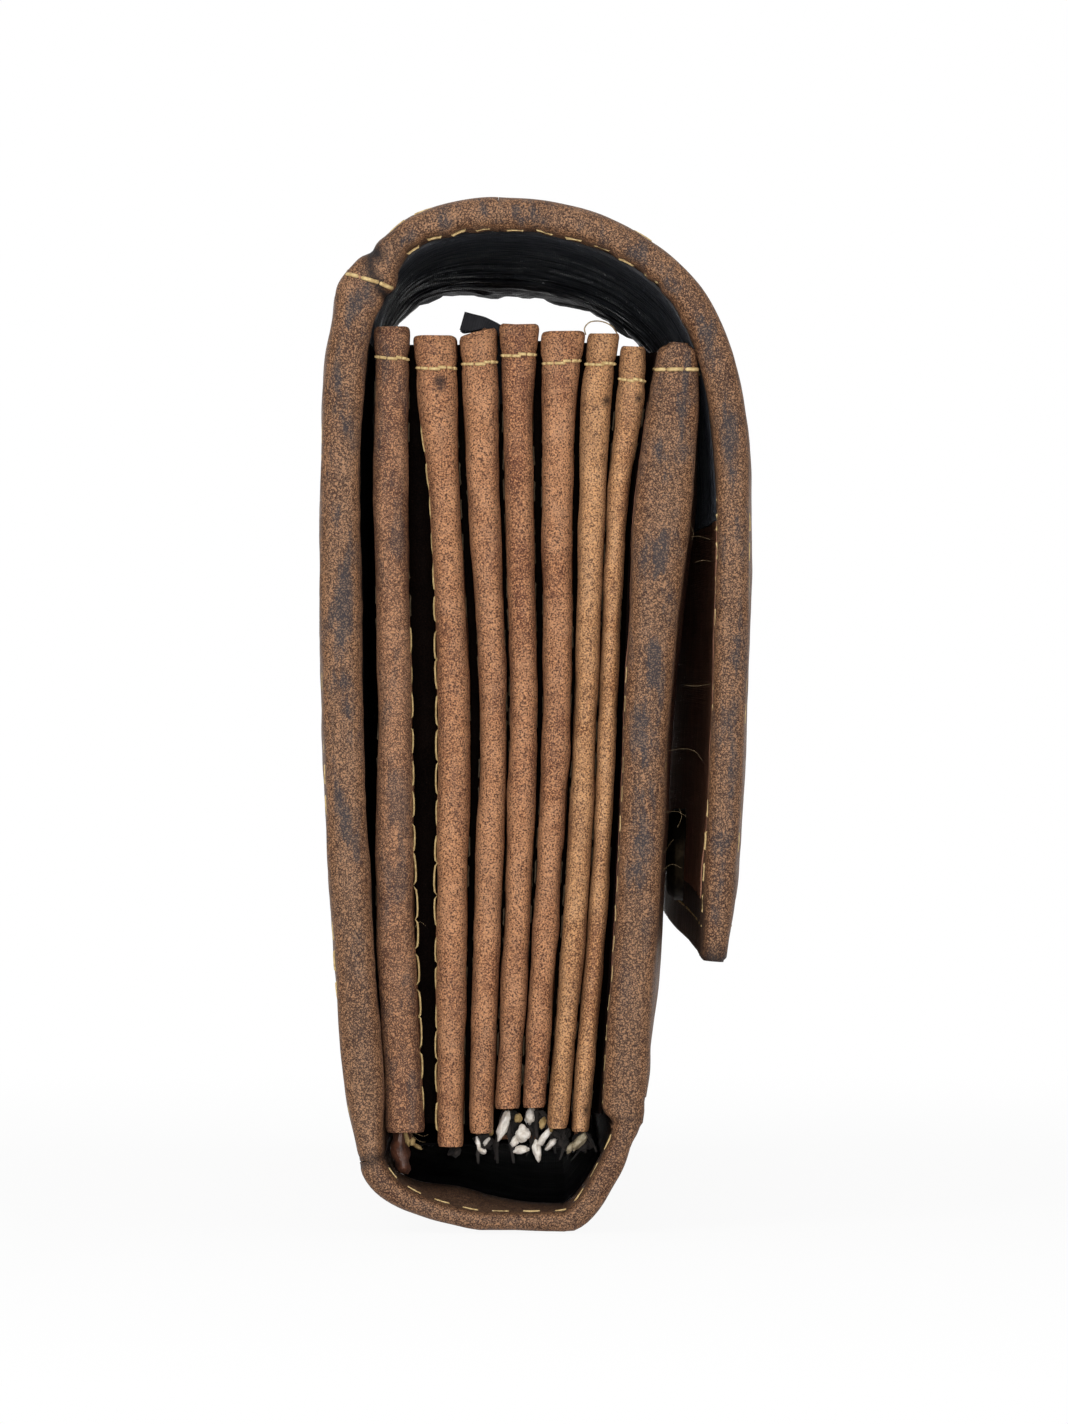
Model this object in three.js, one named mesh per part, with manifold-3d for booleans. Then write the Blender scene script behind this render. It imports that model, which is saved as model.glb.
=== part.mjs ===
// Long leather wallet: a cover with a fold-over flap around an accordion of seven leaves.
// Millimetres, +Z up. The wallet stands on its base, its length runs along Y and its
// thickness along X, with the back at -X and the hanging side of the flap at +X.
import * as THREE from "three";
import { mergeVertices } from "three/addons/utils/BufferGeometryUtils.js";
import initManifold from "manifold-3d";

const kernel = await initManifold();
kernel.setup();

// Cover
const LENGTH = 185; // end to end
const BACK_THICK = 4.1; // back panel: leather, board and lining
const BACK_FOOT_THICK = 2.6; // where the back runs out into the base
const BASE_THICK = 2.1; // base strip, without a board
const FRONT_THICK = 4.4; // front panel
const FRONT_PAD = 1.2; // extra thickness of the padded part of the front
const FRONT_LIP_THICK = 4; // front just under its top edge
const FRONT_LIP_ROUND = 1.4; // how much thinner the top edge itself is
const FLAP_THICK = 3.4; // flap
const FLAP_TIP_THICK = 2.6; // free edge of the flap
const EDGE_ROUND = 1.6; // how far the turned edges are rounded at both ends
const TURNED_EDGE = 5; // width of leather turned over the lining
const END_MARGIN = 8; // leather left above and below a lining
const FOLD_MARGIN = 1; // leather left beside a fold of the flap
const LINING_THICK = 0.5;
const BOARD_THICK = 1.1; // stiffener board
const BACK_FOOT_HEIGHT = 7.2; // where the back meets the base
const BACK_HEIGHT = 95.3; // where the back meets the flap
const BACK_OFFSET = 16.4; // foot of the back, across from the middle
const BACK_LEAN = 3.6; // how far the back bows out between foot and head
const HEAD_LEAN = 0.5; // head of the back, out from its foot
const KNEE_LEAN = 3; // where the back starts to bend in, out from its foot
const KNEE_DROP = 17.3; // and down from its head
const KNEE_RISE = 13; // how far the back stays upright above the knee
const KNEE_EASE = 0.2;
const FRONT_HEIGHT = 88.7; // top of the front
const FRONT_FOOT_HEIGHT = 10.8; // fold between base and front
const BASE_FLAT = 8.4; // width of the flat foot that the wallet stands on
const BASE_TUCK = 0.6; // how far the base stands back under the front
const BASE_RUN = 6.4; // from the front fold to the flat foot
const BASE_EASE = [2.4, 0.5]; // how softly the flat foot bends up to the front
const FOOT_EASE = [1, 1.6]; // and up to the back
const ARCH_ROOM = 9.1; // free height between the leaves and the flap
const FLAP_ROOM = 1.4; // free width between the front and the flap
const SHOULDER_REACH = 6; // shoulder of the flap, measured across
const SHOULDER_DROP = 6.6; // shoulder of the flap, measured down
const SHOULDER_RUN = 15.4; // from the top of the front to where the flap hangs straight
const SHOULDER_END = FRONT_HEIGHT - SHOULDER_RUN;
const FRONT_DROP = 2.5; // top of the front under the highest leaf
const FLAP_TIP_DRAW = 2; // how far the free edge turns back towards the front

// Accordion
const FOOT_LEVEL = 13; // heights at which the leaf sizes are given
const WAIST_LEVEL = 53;
const HEM_DROP = 7.3; // hems of the leaves under the head of the back
const HEM_LEVEL = BACK_HEIGHT - HEM_DROP;
const HEM_RUN = 14; // height over which a pleat thickens to its sewn hem
const DIVIDER_THICK = 1;
const DIVIDER_FOOT = 8.8; // height of the lower edge of the dividers
const LEAF_RECESS = 1.5; // pleats stand back from the ends of the cover
const PLEAT_DEPTH = 6; // how far a pleat wraps its divider
const PLEAT_ROUND = 1.5; // rounding of the pleat nose
const PLEAT_NOSE = 1.2; // leather between pleat nose and divider
const WEB_DEPTH = 16; // how far the inward fold reaches in
const WEB_THICK = 0.4;
const FLOOR_THICK = 0.7; // floor of the pockets
const FLOOR_INSET = 9;

// Zip of the coin pocket
const TAPE_THICK = 0.4;
const TAPE_DROP = 8; // how far the tapes reach down inside the pocket
const TAPE_RISE = 0.7; // how far they stand above the leaves
const TAPE_INSET = 10; // from the ends of the cover
const COIL_HEIGHT = 1.6;
const SLIDER_LENGTH = 9;
const SLIDER_WIDTH = 5;
const SLIDER_PLATE = 1.1;
const SLIDER_FROM_END = 24; // slider centre to the far end, zip closed
const BRIDGE_WIDTH = 1.6;
const BRIDGE_BAR = 0.8; // thickness of the loop that holds the pull
const PULL_LENGTH = 15;
const PULL_WIDTH = 4.4;
const PULL_THICK = 0.8;
const PULL_BAR = 0.9; // bar of the pull that turns in the loop
const PULL_EYE = 2.4; // length of the eye of the pull

// Press stud
const STUD_HEIGHT = 36; // height of the press stud above the ground
const TIP_BELOW_STUD = 8.9; // free edge of the flap under the press stud
const FLAP_TIP_HEIGHT = STUD_HEIGHT - TIP_BELOW_STUD;
const CAP_RADIUS = 6;
const CAP_RISE = 1;
const CAP_RIM = 0.4;
const SHANK_RADIUS = 1.3;
const SOCKET_RADIUS = 5;
const SOCKET_BORE = 2.8;
const SOCKET_RISE = 2;
const STUD_RADIUS = 2;
const STUD_REACH = 0.7; // how far the stud head enters the socket
const STUD_NECK = 1; // from the face of the stud head to its neck
const STUD_ROUND = 0.6;
const FLANGE_RADIUS = 4.6;
const FLANGE_THICK = 0.6;

// Clearances
const FIT = 0.12; // between pieces that are sewn or glued face to face
const FOLD_GAP = 0.3; // where a panel is divided at a fold
const RIDE_GAP = 0.3; // under a piece that slides or turns

// The leaves from back to front, in plies. Gap to the neighbour on the left and own thickness
// are given at foot, waist and hem, then how far the pleat runs under the foot level and
// above the hem level.
const PLY = 1; // one thickness of the pleat leather
const LEAVES = [
  { gap: [0.5, 1.5, 0.9], thick: [3.5, 3.3, 3.3], below: 2.7, above: 2.6 },
  { gap: [1.5, 2.6, 0.4], thick: [2.6, 3.1, 4.0], below: 4.1, above: 2.1 },
  { gap: [0.7, 1.2, 0.4], thick: [2.4, 2.5, 3.7], below: 3.2, above: 2.3 },
  { gap: [0.4, 0.5, 0.4], thick: [2.4, 2.6, 3.6], below: 0.6, above: 3.2 },
  { gap: [0.4, 0.8, 0.5], thick: [2.3, 2.7, 4.0], below: 0.6, above: 2.4 },
  { gap: [0.4, 0.5, 0.4], thick: [2.1, 2.3, 3.4], below: 3.2, above: 2.2 },
  { gap: [0.4, 0.4, 0.5], thick: [1.9, 1.9, 2.9], below: 3.2, above: 1.0 },
];
const FRONT_GAP = [0.5, 0.5, 0.6];
const COIN_LEAF = 2; // the zip closes the pocket between this leaf and the next

const HALF = LENGTH / 2;
const smooth = THREE.MathUtils.smoothstep;
const lerp = THREE.MathUtils.lerp;
const at = (x, z) => new THREE.Vector2(x, z);

// Surface helpers

// Turns a surface that encloses its volume inside out into one that faces outwards.
function facingOut(geometry) {
  const p = geometry.attributes.position;
  const index = geometry.index.array;
  const [a, b, c] = [new THREE.Vector3(), new THREE.Vector3(), new THREE.Vector3()];
  let volume = 0;
  for (let i = 0; i < index.length; i += 3) {
    a.fromBufferAttribute(p, index[i]);
    b.fromBufferAttribute(p, index[i + 1]);
    c.fromBufferAttribute(p, index[i + 2]);
    volume += a.dot(b.cross(c));
  }
  if (volume < 0) index.reverse();
  return geometry;
}

// Skin through a row of sections with equal point counts, closed by a flat face at each end.
function loft(sections, place) {
  const count = sections[0].length;
  const last = (sections.length - 1) * count;
  const corners = sections.flatMap((section, k) => section.map((p) => place(p, k)));
  const index = [];
  for (let base = 0; base < last; base += count) {
    for (let i = 0; i < count; i++) {
      const j = (i + 1) % count;
      index.push(base + i, base + j, base + count + j);
      index.push(base + i, base + count + j, base + count + i);
    }
  }
  for (const [section, base, flip] of [[sections[0], 0, -1], [sections.at(-1), last, 1]]) {
    const turn = Math.sign(THREE.ShapeUtils.area(section)) * flip;
    for (const face of THREE.ShapeUtils.triangulateShape(section, [])) {
      const side = Math.sign(THREE.ShapeUtils.area(face.map((i) => section[i])));
      const ordered = side * turn > 0 ? face : face.reverse();
      index.push(...ordered.map((i) => base + i));
    }
  }
  const geometry = new THREE.BufferGeometry().setFromPoints(corners);
  geometry.setIndex(index);
  return facingOut(geometry);
}

function solidOf(geometry) {
  const bare = new THREE.BufferGeometry();
  bare.setAttribute("position", geometry.attributes.position);
  bare.setIndex(geometry.index);
  const welded = mergeVertices(bare, 1e-4);
  const mesh = new kernel.Mesh({
    numProp: 3,
    vertProperties: new Float32Array(welded.attributes.position.array),
    triVerts: new Uint32Array(welded.index.array),
  });
  mesh.merge();
  return new kernel.Manifold(mesh);
}

function surfaceOf(solid) {
  const { vertProperties, triVerts } = solid.getMesh();
  const geometry = new THREE.BufferGeometry();
  geometry.setAttribute("position", new THREE.BufferAttribute(vertProperties, 3));
  geometry.setIndex([...triVerts]);
  return geometry;
}

function cut(geometry, tool) {
  return surfaceOf(solidOf(geometry).subtract(solidOf(tool)));
}

function join(first, second) {
  return surfaceOf(solidOf(first).add(solidOf(second)));
}

// Lines across the wallet (X, Z) that the cover follows. Each runs clockwise in the view
// along +Y, so the inside of the wallet is always to its right.

function pointsOf(path, divisions) {
  return path.curves.flatMap((curve, i) => curve.getPoints(divisions).slice(i ? 1 : 0));
}

function shorten(points, length) {
  const rest = [...points];
  let left = length;
  while (rest.length > 2 && rest[0].distanceTo(rest[1]) <= left + 0.05) {
    left -= rest[0].distanceTo(rest[1]);
    rest.shift();
  }
  rest[0] = rest[0].clone().lerp(rest[1], left / rest[0].distanceTo(rest[1]));
  return rest;
}

function trim(points, first, last) {
  return shorten(shorten(points, first).reverse(), last).reverse();
}

function stationsOf(points) {
  return points.map((point, i) => {
    const before = points[Math.max(i - 1, 0)];
    const after = points[Math.min(i + 1, points.length - 1)];
    const along = after.clone().sub(before).normalize();
    return { point, inward: at(along.y, -along.x) };
  });
}

function alongLine(points, sectionAt) {
  const stations = stationsOf(points);
  const sections = stations.map((station) => sectionAt(station.point));
  return loft(sections, (p, k) => {
    const { point, inward } = stations[k];
    return new THREE.Vector3(point.x + inward.x * p.x, p.y, point.y + inward.y * p.x);
  });
}

// Panel with rounded turned edges at both ends of the wallet.
function panel(points, thickAt) {
  const turns = [0, 1, 2, 3, 4].map((k) => (Math.PI * k) / 4);
  return alongLine(points, (point) => {
    const half = thickAt(point) / 2;
    const flat = HALF - EDGE_ROUND;
    const near = turns.map((a) => at(half * Math.cos(a), -flat - EDGE_ROUND * Math.sin(a)));
    const far = turns.map((a) => at(-half * Math.cos(a), flat + EDGE_ROUND * Math.sin(a)));
    return [...near, ...far];
  });
}

// Sheet between two depths under the inner face of a panel.
function sheet(points, thickAt, shallow, deep, halfWidth) {
  return alongLine(points, (point) => {
    const face = thickAt(point) / 2;
    const [low, high] = [face - deep, face - shallow];
    return [at(low, -halfWidth), at(high, -halfWidth), at(high, halfWidth), at(low, halfWidth)];
  });
}

// A panel with the recess for its lining, and for a board behind the lining where it has one.
function linedPanel(points, thickAt, first, last, board) {
  const bed = LINING_THICK + FIT + (board ? BOARD_THICK + FIT : 0) + FIT;
  const width = HALF - TURNED_EDGE;
  const inside = trim(points, first, last);
  const fitted = trim(points, first + FIT, last + FIT);
  return {
    leather: cut(panel(points, thickAt), sheet(inside, thickAt, -1, bed, width)),
    lining: sheet(fitted, thickAt, FIT, FIT + LINING_THICK, width - FIT),
    board: board && sheet(fitted, thickAt, bed - FIT - BOARD_THICK, bed - FIT, width - FIT),
  };
}

// Back

const backFoot = at(-BACK_OFFSET, BACK_FOOT_HEIGHT);
const backHead = at(backFoot.x - HEAD_LEAN, BACK_HEIGHT);
const backKnee = at(backFoot.x - KNEE_LEAN, BACK_HEIGHT - KNEE_DROP);
const backUpper = at(backKnee.x + KNEE_EASE, backKnee.y + KNEE_RISE);
const backPath = new THREE.Path().moveTo(backFoot.x, backFoot.y);
const backBow = at(backFoot.x - BACK_LEAN, lerp(BACK_FOOT_HEIGHT, BACK_HEIGHT, 0.4));
backPath.quadraticCurveTo(backBow.x, backBow.y, backKnee.x, backKnee.y);
backPath.quadraticCurveTo(backUpper.x, backUpper.y, backHead.x, backHead.y);
const backLine = pointsOf(backPath, 6);
function backThick(p) {
  return lerp(BACK_FOOT_THICK, BACK_THICK, smooth(p.y, BACK_FOOT_HEIGHT, 2 * BACK_FOOT_HEIGHT));
}

function backInside(z) {
  const face = stationsOf(backLine).map(({ point, inward }) =>
    point.clone().addScaledVector(inward, backThick(point) / 2));
  const i = face.findIndex((p, k) => k > 0 && p.y >= z);
  return lerp(face[i - 1].x, face[i].x, (z - face[i - 1].y) / (face[i].y - face[i - 1].y));
}

// Leaves: stacked from the inside of the back

const LEVELS = [FOOT_LEVEL, WAIST_LEVEL, HEM_LEVEL];

// Parabola through values at foot, waist and hem.
function overHeight([foot, waist, hem]) {
  const [a, b, c] = LEVELS;
  return (z) =>
    (foot * (z - b) * (z - c)) / ((a - b) * (a - c)) +
    (waist * (z - a) * (z - c)) / ((b - a) * (b - c)) +
    (hem * (z - a) * (z - b)) / ((c - a) * (c - b));
}

function thickening([foot, waist, hem]) {
  return (z) =>
    lerp(foot, waist, smooth(z, FOOT_LEVEL, WAIST_LEVEL)) +
    (hem - waist) * smooth(z, HEM_LEVEL - HEM_RUN, HEM_LEVEL);
}

const stack = LEVELS.map(backInside);
const leaves = LEAVES.map(({ gap, thick, below, above }) => {
  const middle = LEVELS.map((level, i) => stack[i] + (gap[i] + thick[i] / 2) * PLY);
  LEVELS.forEach((level, i) => (stack[i] += (gap[i] + thick[i]) * PLY));
  const thickness = thickening(thick.map((plies) => plies * PLY));
  const low = FOOT_LEVEL - below * PLY;
  const top = HEM_LEVEL + above * PLY;
  return { low, top, centre: overHeight(middle), half: (z) => thickness(z) / 2 };
});
const leafTop = Math.max(...leaves.map((leaf) => leaf.top));

// Front

const frontInside = overHeight(stack.map((x, i) => x + FRONT_GAP[i] * PLY));
const padHeight = lerp(WAIST_LEVEL, FRONT_HEIGHT, 0.66);
function frontThick(p) {
  const swell = FRONT_PAD * smooth(p.y, WAIST_LEVEL, padHeight);
  const lip = (FRONT_THICK + FRONT_PAD - FRONT_LIP_THICK) * smooth(p.y, padHeight, FRONT_HEIGHT);
  const round = FRONT_LIP_ROUND * smooth(p.y, FRONT_HEIGHT - 2 * FRONT_LIP_ROUND, FRONT_HEIGHT);
  return FRONT_THICK + swell - lip - round;
}
const frontSteps = [1, 0.982, 0.95, 0.9, 0.84, 0.76, 0.66, 0.53, 0.35, 0.18, 0];
const frontLine = frontSteps.map((step) => {
  const z = lerp(FRONT_FOOT_HEIGHT + FOLD_GAP, FRONT_HEIGHT, step);
  return at(frontInside(z) + frontThick(at(0, z)) / 2, z);
});
const frontOutside = (z) => frontInside(z) + frontThick(at(0, z));

// Base: from the front fold down, under the leaves and up to the foot of the back

const baseHalf = BASE_THICK / 2;
const frontFold = at(frontOutside(FRONT_FOOT_HEIGHT) - baseHalf - BASE_TUCK, FRONT_FOOT_HEIGHT);
const footRight = at(frontFold.x - BASE_RUN, baseHalf);
const footLeft = at(footRight.x - BASE_FLAT, baseHalf);
const basePath = new THREE.Path().moveTo(frontFold.x, frontFold.y);
const frontBend = at(footRight.x + BASE_EASE[0], baseHalf + BASE_EASE[1]);
const backBend = at(backFoot.x + FOOT_EASE[0], baseHalf + FOOT_EASE[1]);
basePath.quadraticCurveTo(frontBend.x, frontBend.y, footRight.x, baseHalf);
basePath.lineTo(footLeft.x, footLeft.y);
basePath.quadraticCurveTo(backBend.x, backBend.y, backFoot.x, backFoot.y);
const baseLine = trim(pointsOf(basePath, 6), 2 * FOLD_GAP, 2 * FOLD_GAP);
const baseThick = () => BASE_THICK;

// Flap: from the head of the back over the leaves and down in front

const flapHalf = FLAP_THICK / 2;
const archHeight = Math.max(leafTop, FRONT_HEIGHT + FRONT_DROP) + ARCH_ROOM + flapHalf;
const shoulderEnd = at(frontOutside(padHeight) + FLAP_ROOM + flapHalf, SHOULDER_END);
const shoulder = at(shoulderEnd.x - SHOULDER_REACH, archHeight - SHOULDER_DROP);
const archTop = at(lerp(backHead.x, shoulder.x, 0.43), archHeight);
const flapTip = at(shoulderEnd.x - FLAP_TIP_DRAW, FLAP_TIP_HEIGHT);
const archPath = new THREE.Path().moveTo(backHead.x, backHead.y);
const archRise = archHeight - BACK_HEIGHT;
archPath.quadraticCurveTo(backHead.x + 0.53 * archRise, archHeight, archTop.x, archTop.y);
archPath.quadraticCurveTo(shoulder.x - SHOULDER_DROP, archHeight, shoulder.x, shoulder.y);
const hangPath = new THREE.Path().moveTo(shoulder.x, shoulder.y);
hangPath.quadraticCurveTo(shoulderEnd.x, shoulder.y - SHOULDER_REACH, shoulderEnd.x, shoulderEnd.y);
const hangMiddle = (SHOULDER_END + FLAP_TIP_HEIGHT) / 2;
hangPath.quadraticCurveTo(shoulderEnd.x, hangMiddle, flapTip.x, flapTip.y);
const archLine = trim(pointsOf(archPath, 7), 2 * FOLD_GAP, FOLD_GAP / 2);
const hangLine = trim(pointsOf(hangPath, 6), FOLD_GAP / 2, 0);
const archThick = () => FLAP_THICK;
function hangThick(p) {
  return lerp(FLAP_TIP_THICK, FLAP_THICK, smooth(p.y, FLAP_TIP_HEIGHT, FLAP_TIP_HEIGHT + END_MARGIN));
}

// Materials

function finish(color, roughness, metalness = 0) {
  return new THREE.MeshStandardMaterial({ color, roughness, metalness });
}

const coverLeather = () => finish(0x7d573c, 0.55);
const pleatLeather = () => finish(0xa5744c, 0.6);
const dividerLeather = () => finish(0x5a3b26, 0.7);
const blackCloth = () => finish(0x17171b, 0.9);
const brownCloth = () => finish(0x2e1c12, 0.85);
const greyBoard = () => finish(0x8d8474, 0.95);
const brass = () => finish(0xb08d4f, 0.35, 1);

const wallet = new THREE.Group();
wallet.name = "wallet";
const body = new THREE.Group();
body.name = "standing_wallet";
wallet.add(body);

function add(name, geometry, material) {
  const mesh = new THREE.Mesh(geometry, material);
  mesh.name = name;
  body.add(mesh);
  return mesh;
}

// Press stud: turned parts along the line through its centre

const studOutside = frontOutside(STUD_HEIGHT);
function faceNear(line, thickAt, z, side) {
  const face = stationsOf(line).map(({ point, inward }) =>
    point.clone().addScaledVector(inward, (side * thickAt(point)) / 2));
  const i = face.findIndex((p, k) => k > 0 && p.y <= z);
  return lerp(face[i - 1].x, face[i].x, (z - face[i - 1].y) / (face[i].y - face[i - 1].y));
}
const flapInside = faceNear(hangLine, hangThick, STUD_HEIGHT, 1);
const flapOutside = faceNear(hangLine, hangThick, STUD_HEIGHT, -1);

// Profile points are (radius, distance along X from the given origin).
function turned(origin, profile) {
  const geometry = new THREE.LatheGeometry(profile.map(([r, x]) => at(r, x)), 24);
  geometry.rotateZ(-Math.PI / 2);
  geometry.translate(origin, 0, STUD_HEIGHT);
  return geometry;
}

// Play for the slope of the leather under a flat flange.
function slopeAt(line, radius) {
  return Math.abs(line(STUD_HEIGHT + radius) - line(STUD_HEIGHT - radius)) / 2;
}
const flapSlope = slopeAt((z) => faceNear(hangLine, hangThick, z, 1), CAP_RADIUS) + FIT;
const frontSlope = slopeAt(frontOutside, FLANGE_RADIUS) + FIT;

const capBase = flapOutside + flapSlope;
const socketBase = flapInside - flapSlope;
const socketFace = socketBase - SOCKET_RISE;
const shankEnd = socketBase - SOCKET_RISE / 2 + FIT;
const capProfile = [
  [0, shankEnd - capBase],
  [SHANK_RADIUS, shankEnd - capBase],
  [SHANK_RADIUS, 0],
  [CAP_RADIUS, 0],
  [CAP_RADIUS, CAP_RIM],
  [CAP_RADIUS * 0.86, CAP_RISE * 0.72],
  [CAP_RADIUS * 0.5, CAP_RISE * 0.95],
  [0, CAP_RISE],
];
const shankBore = SHANK_RADIUS + FIT;
const socketProfile = [
  [SOCKET_BORE, 0],
  [SOCKET_RADIUS * 0.85, 0],
  [SOCKET_RADIUS, SOCKET_RISE * 0.4],
  [SOCKET_RADIUS, SOCKET_RISE],
  [shankBore, SOCKET_RISE],
  [shankBore, SOCKET_RISE / 2],
  [SOCKET_BORE, SOCKET_RISE / 2],
  [SOCKET_BORE, 0],
];
const flangeBase = studOutside + frontSlope;
const studHead = socketFace + STUD_REACH;
const studProfile = [
  [0, -FRONT_THICK * 0.4],
  [SHANK_RADIUS, -FRONT_THICK * 0.4],
  [SHANK_RADIUS, 0],
  [FLANGE_RADIUS, 0],
  [FLANGE_RADIUS, FLANGE_THICK],
  [STUD_RADIUS * 0.8, FLANGE_THICK],
  [STUD_RADIUS * 0.8, studHead - flangeBase - STUD_NECK],
  [STUD_RADIUS, studHead - flangeBase - STUD_ROUND],
  [STUD_RADIUS * 0.8, studHead - flangeBase],
  [0, studHead - flangeBase],
];
function bore(from, to) {
  return turned(from, [[0, 0], [shankBore, 0], [shankBore, to - from], [0, to - from]]);
}
const flapBore = bore(socketBase - 1, capBase + 1);
const frontBore = bore(flangeBase - FRONT_THICK * 0.4 - FIT, flangeBase + 1);

// Cover pieces

const back = linedPanel(backLine, backThick, END_MARGIN, END_MARGIN, true);
add("back_panel", back.leather, coverLeather());
add("back_board", back.board, greyBoard());
add("back_lining", back.lining, blackCloth());

const base = linedPanel(baseLine, baseThick, FOLD_MARGIN, FOLD_MARGIN, false);
add("base_panel", base.leather, coverLeather());
add("base_lining", base.lining, blackCloth());

const front = linedPanel(frontLine, frontThick, END_MARGIN, END_MARGIN, true);
add("front_panel", cut(front.leather, frontBore), coverLeather());
add("front_board", front.board, greyBoard());
add("front_lining", front.lining, brownCloth());

const arch = linedPanel(archLine, archThick, FOLD_MARGIN, FOLD_MARGIN, false);
add("flap_arch", arch.leather, coverLeather());
add("flap_arch_lining", arch.lining, blackCloth());

const hang = linedPanel(hangLine, hangThick, FOLD_MARGIN, END_MARGIN, true);
add("flap_front", cut(hang.leather, flapBore), coverLeather());
add("flap_front_board", cut(hang.board, flapBore), greyBoard());
add("flap_front_lining", cut(hang.lining, flapBore), brownCloth());

add("snap_cap", turned(capBase, capProfile), brass());
add("snap_socket", turned(socketFace, socketProfile), brass());
add("snap_stud", turned(flangeBase, studProfile), brass());

// Accordion pieces

const PLEAT_TIP = HALF - LEAF_RECESS;
const pleatHeights = [
  lerp(FOOT_LEVEL, WAIST_LEVEL, 0.5),
  WAIST_LEVEL,
  HEM_LEVEL - HEM_RUN,
  HEM_LEVEL - HEM_RUN * 0.5,
  HEM_LEVEL,
];

function upright(low, top, sectionAt) {
  const heights = [low, ...pleatHeights.filter((z) => z > low + 1 && z < top - 0.5), top];
  return loft(heights.map(sectionAt), (p, k) => new THREE.Vector3(p.x, p.y, heights[k]));
}

// Leather folded round the end of a divider. The side is -1 at the near end and 1 at the far end.
function pleat(leaf, side) {
  const hollow = DIVIDER_THICK / 2 + FIT;
  const turns = [0, 1, 2, 3, 4].map((k) => (Math.PI * k) / 4);
  return upright(leaf.low, leaf.top, (z) => {
    const [x, half] = [leaf.centre(z), leaf.half(z)];
    const noseAt = (a) => [x - half * Math.cos(a), PLEAT_TIP - PLEAT_ROUND * (1 - Math.sin(a))];
    const section = [
      [x - half, PLEAT_TIP - PLEAT_DEPTH],
      ...turns.map(noseAt),
      [x + half, PLEAT_TIP - PLEAT_DEPTH],
      [x + hollow, PLEAT_TIP - PLEAT_DEPTH],
      [x + hollow, PLEAT_TIP - PLEAT_NOSE],
      [x - hollow, PLEAT_TIP - PLEAT_NOSE],
      [x - hollow, PLEAT_TIP - PLEAT_DEPTH],
    ];
    return section.map(([px, py]) => at(px, side * py));
  });
}

// Inward fold between the pleats of two neighbouring leaves, open towards its end of the wallet.
function web(left, right, low, top, side) {
  const outer = PLEAT_TIP - PLEAT_DEPTH - FOLD_GAP;
  const inner = PLEAT_TIP - WEB_DEPTH;
  const turns = [0, 1, 2].map((k) => (Math.PI * k) / 2);
  return upright(low, top, (z) => {
    const x0 = left.centre(z) + DIVIDER_THICK / 2 + FIT;
    const x1 = right.centre(z) - DIVIDER_THICK / 2 - FIT;
    const [middle, half] = [(x0 + x1) / 2, (x1 - x0) / 2];
    const arc = (r) => turns.map((a) => [middle - r * Math.cos(a), inner + half - r * Math.sin(a)]);
    const section = [
      [x0, outer],
      ...arc(half),
      [x1, outer],
      [x1 - WEB_THICK, outer],
      ...arc(half - WEB_THICK).reverse(),
      [x0 + WEB_THICK, outer],
    ];
    return section.map(([px, py]) => at(px, side * py));
  });
}

leaves.forEach((leaf, i) => {
  const reach = PLEAT_TIP - PLEAT_NOSE - FIT;
  const divider = upright(DIVIDER_FOOT, leaf.top - FIT, (z) => {
    const [x0, x1] = [leaf.centre(z) - DIVIDER_THICK / 2, leaf.centre(z) + DIVIDER_THICK / 2];
    return [at(x0, -reach), at(x1, -reach), at(x1, reach), at(x0, reach)];
  });
  add(`divider_${i + 1}`, divider, dividerLeather());
  add(`pleat_near_${i + 1}`, pleat(leaf, -1), pleatLeather());
  add(`pleat_far_${i + 1}`, pleat(leaf, 1), pleatLeather());
});

const tapeTop = leaves[COIN_LEAF + 1].top + TAPE_RISE;
const tapeLow = tapeTop - TAPE_DROP;
leaves.slice(1).forEach((right, i) => {
  const left = leaves[i];
  const low = Math.max(left.low, right.low);
  const top = i === COIN_LEAF ? tapeLow - FOLD_GAP : Math.min(left.top, right.top) - FIT;
  add(`web_near_${i + 1}`, web(left, right, low, top, -1), pleatLeather());
  add(`web_far_${i + 1}`, web(left, right, low, top, 1), pleatLeather());
});

const floorTop = DIVIDER_FOOT - FOLD_GAP;
const floorFrom = leaves[0].centre(FOOT_LEVEL);
const floorTo = leaves.at(-1).centre(FOOT_LEVEL);
const floorGeometry = new THREE.BoxGeometry(floorTo - floorFrom, LENGTH - 2 * FLOOR_INSET, FLOOR_THICK);
floorGeometry.translate((floorFrom + floorTo) / 2, 0, floorTop - FLOOR_THICK / 2);
add("pocket_floor", floorGeometry, blackCloth());

// Zip: tapes inside the two leaves of the coin pocket, coil between them, slider on the coil

const [coinLeft, coinRight] = [leaves[COIN_LEAF], leaves[COIN_LEAF + 1]];
const tapeReach = HALF - TAPE_INSET;
function tape(leaf, side) {
  return upright(tapeLow, tapeTop, (z) => {
    const near = leaf.centre(z) + side * (DIVIDER_THICK / 2 + FIT);
    const far = near + side * TAPE_THICK;
    return [at(near, -tapeReach), at(far, -tapeReach), at(far, tapeReach), at(near, tapeReach)];
  });
}
add("zip_tape_back", tape(coinLeft, 1), blackCloth());
add("zip_tape_front", tape(coinRight, -1), blackCloth());

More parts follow.
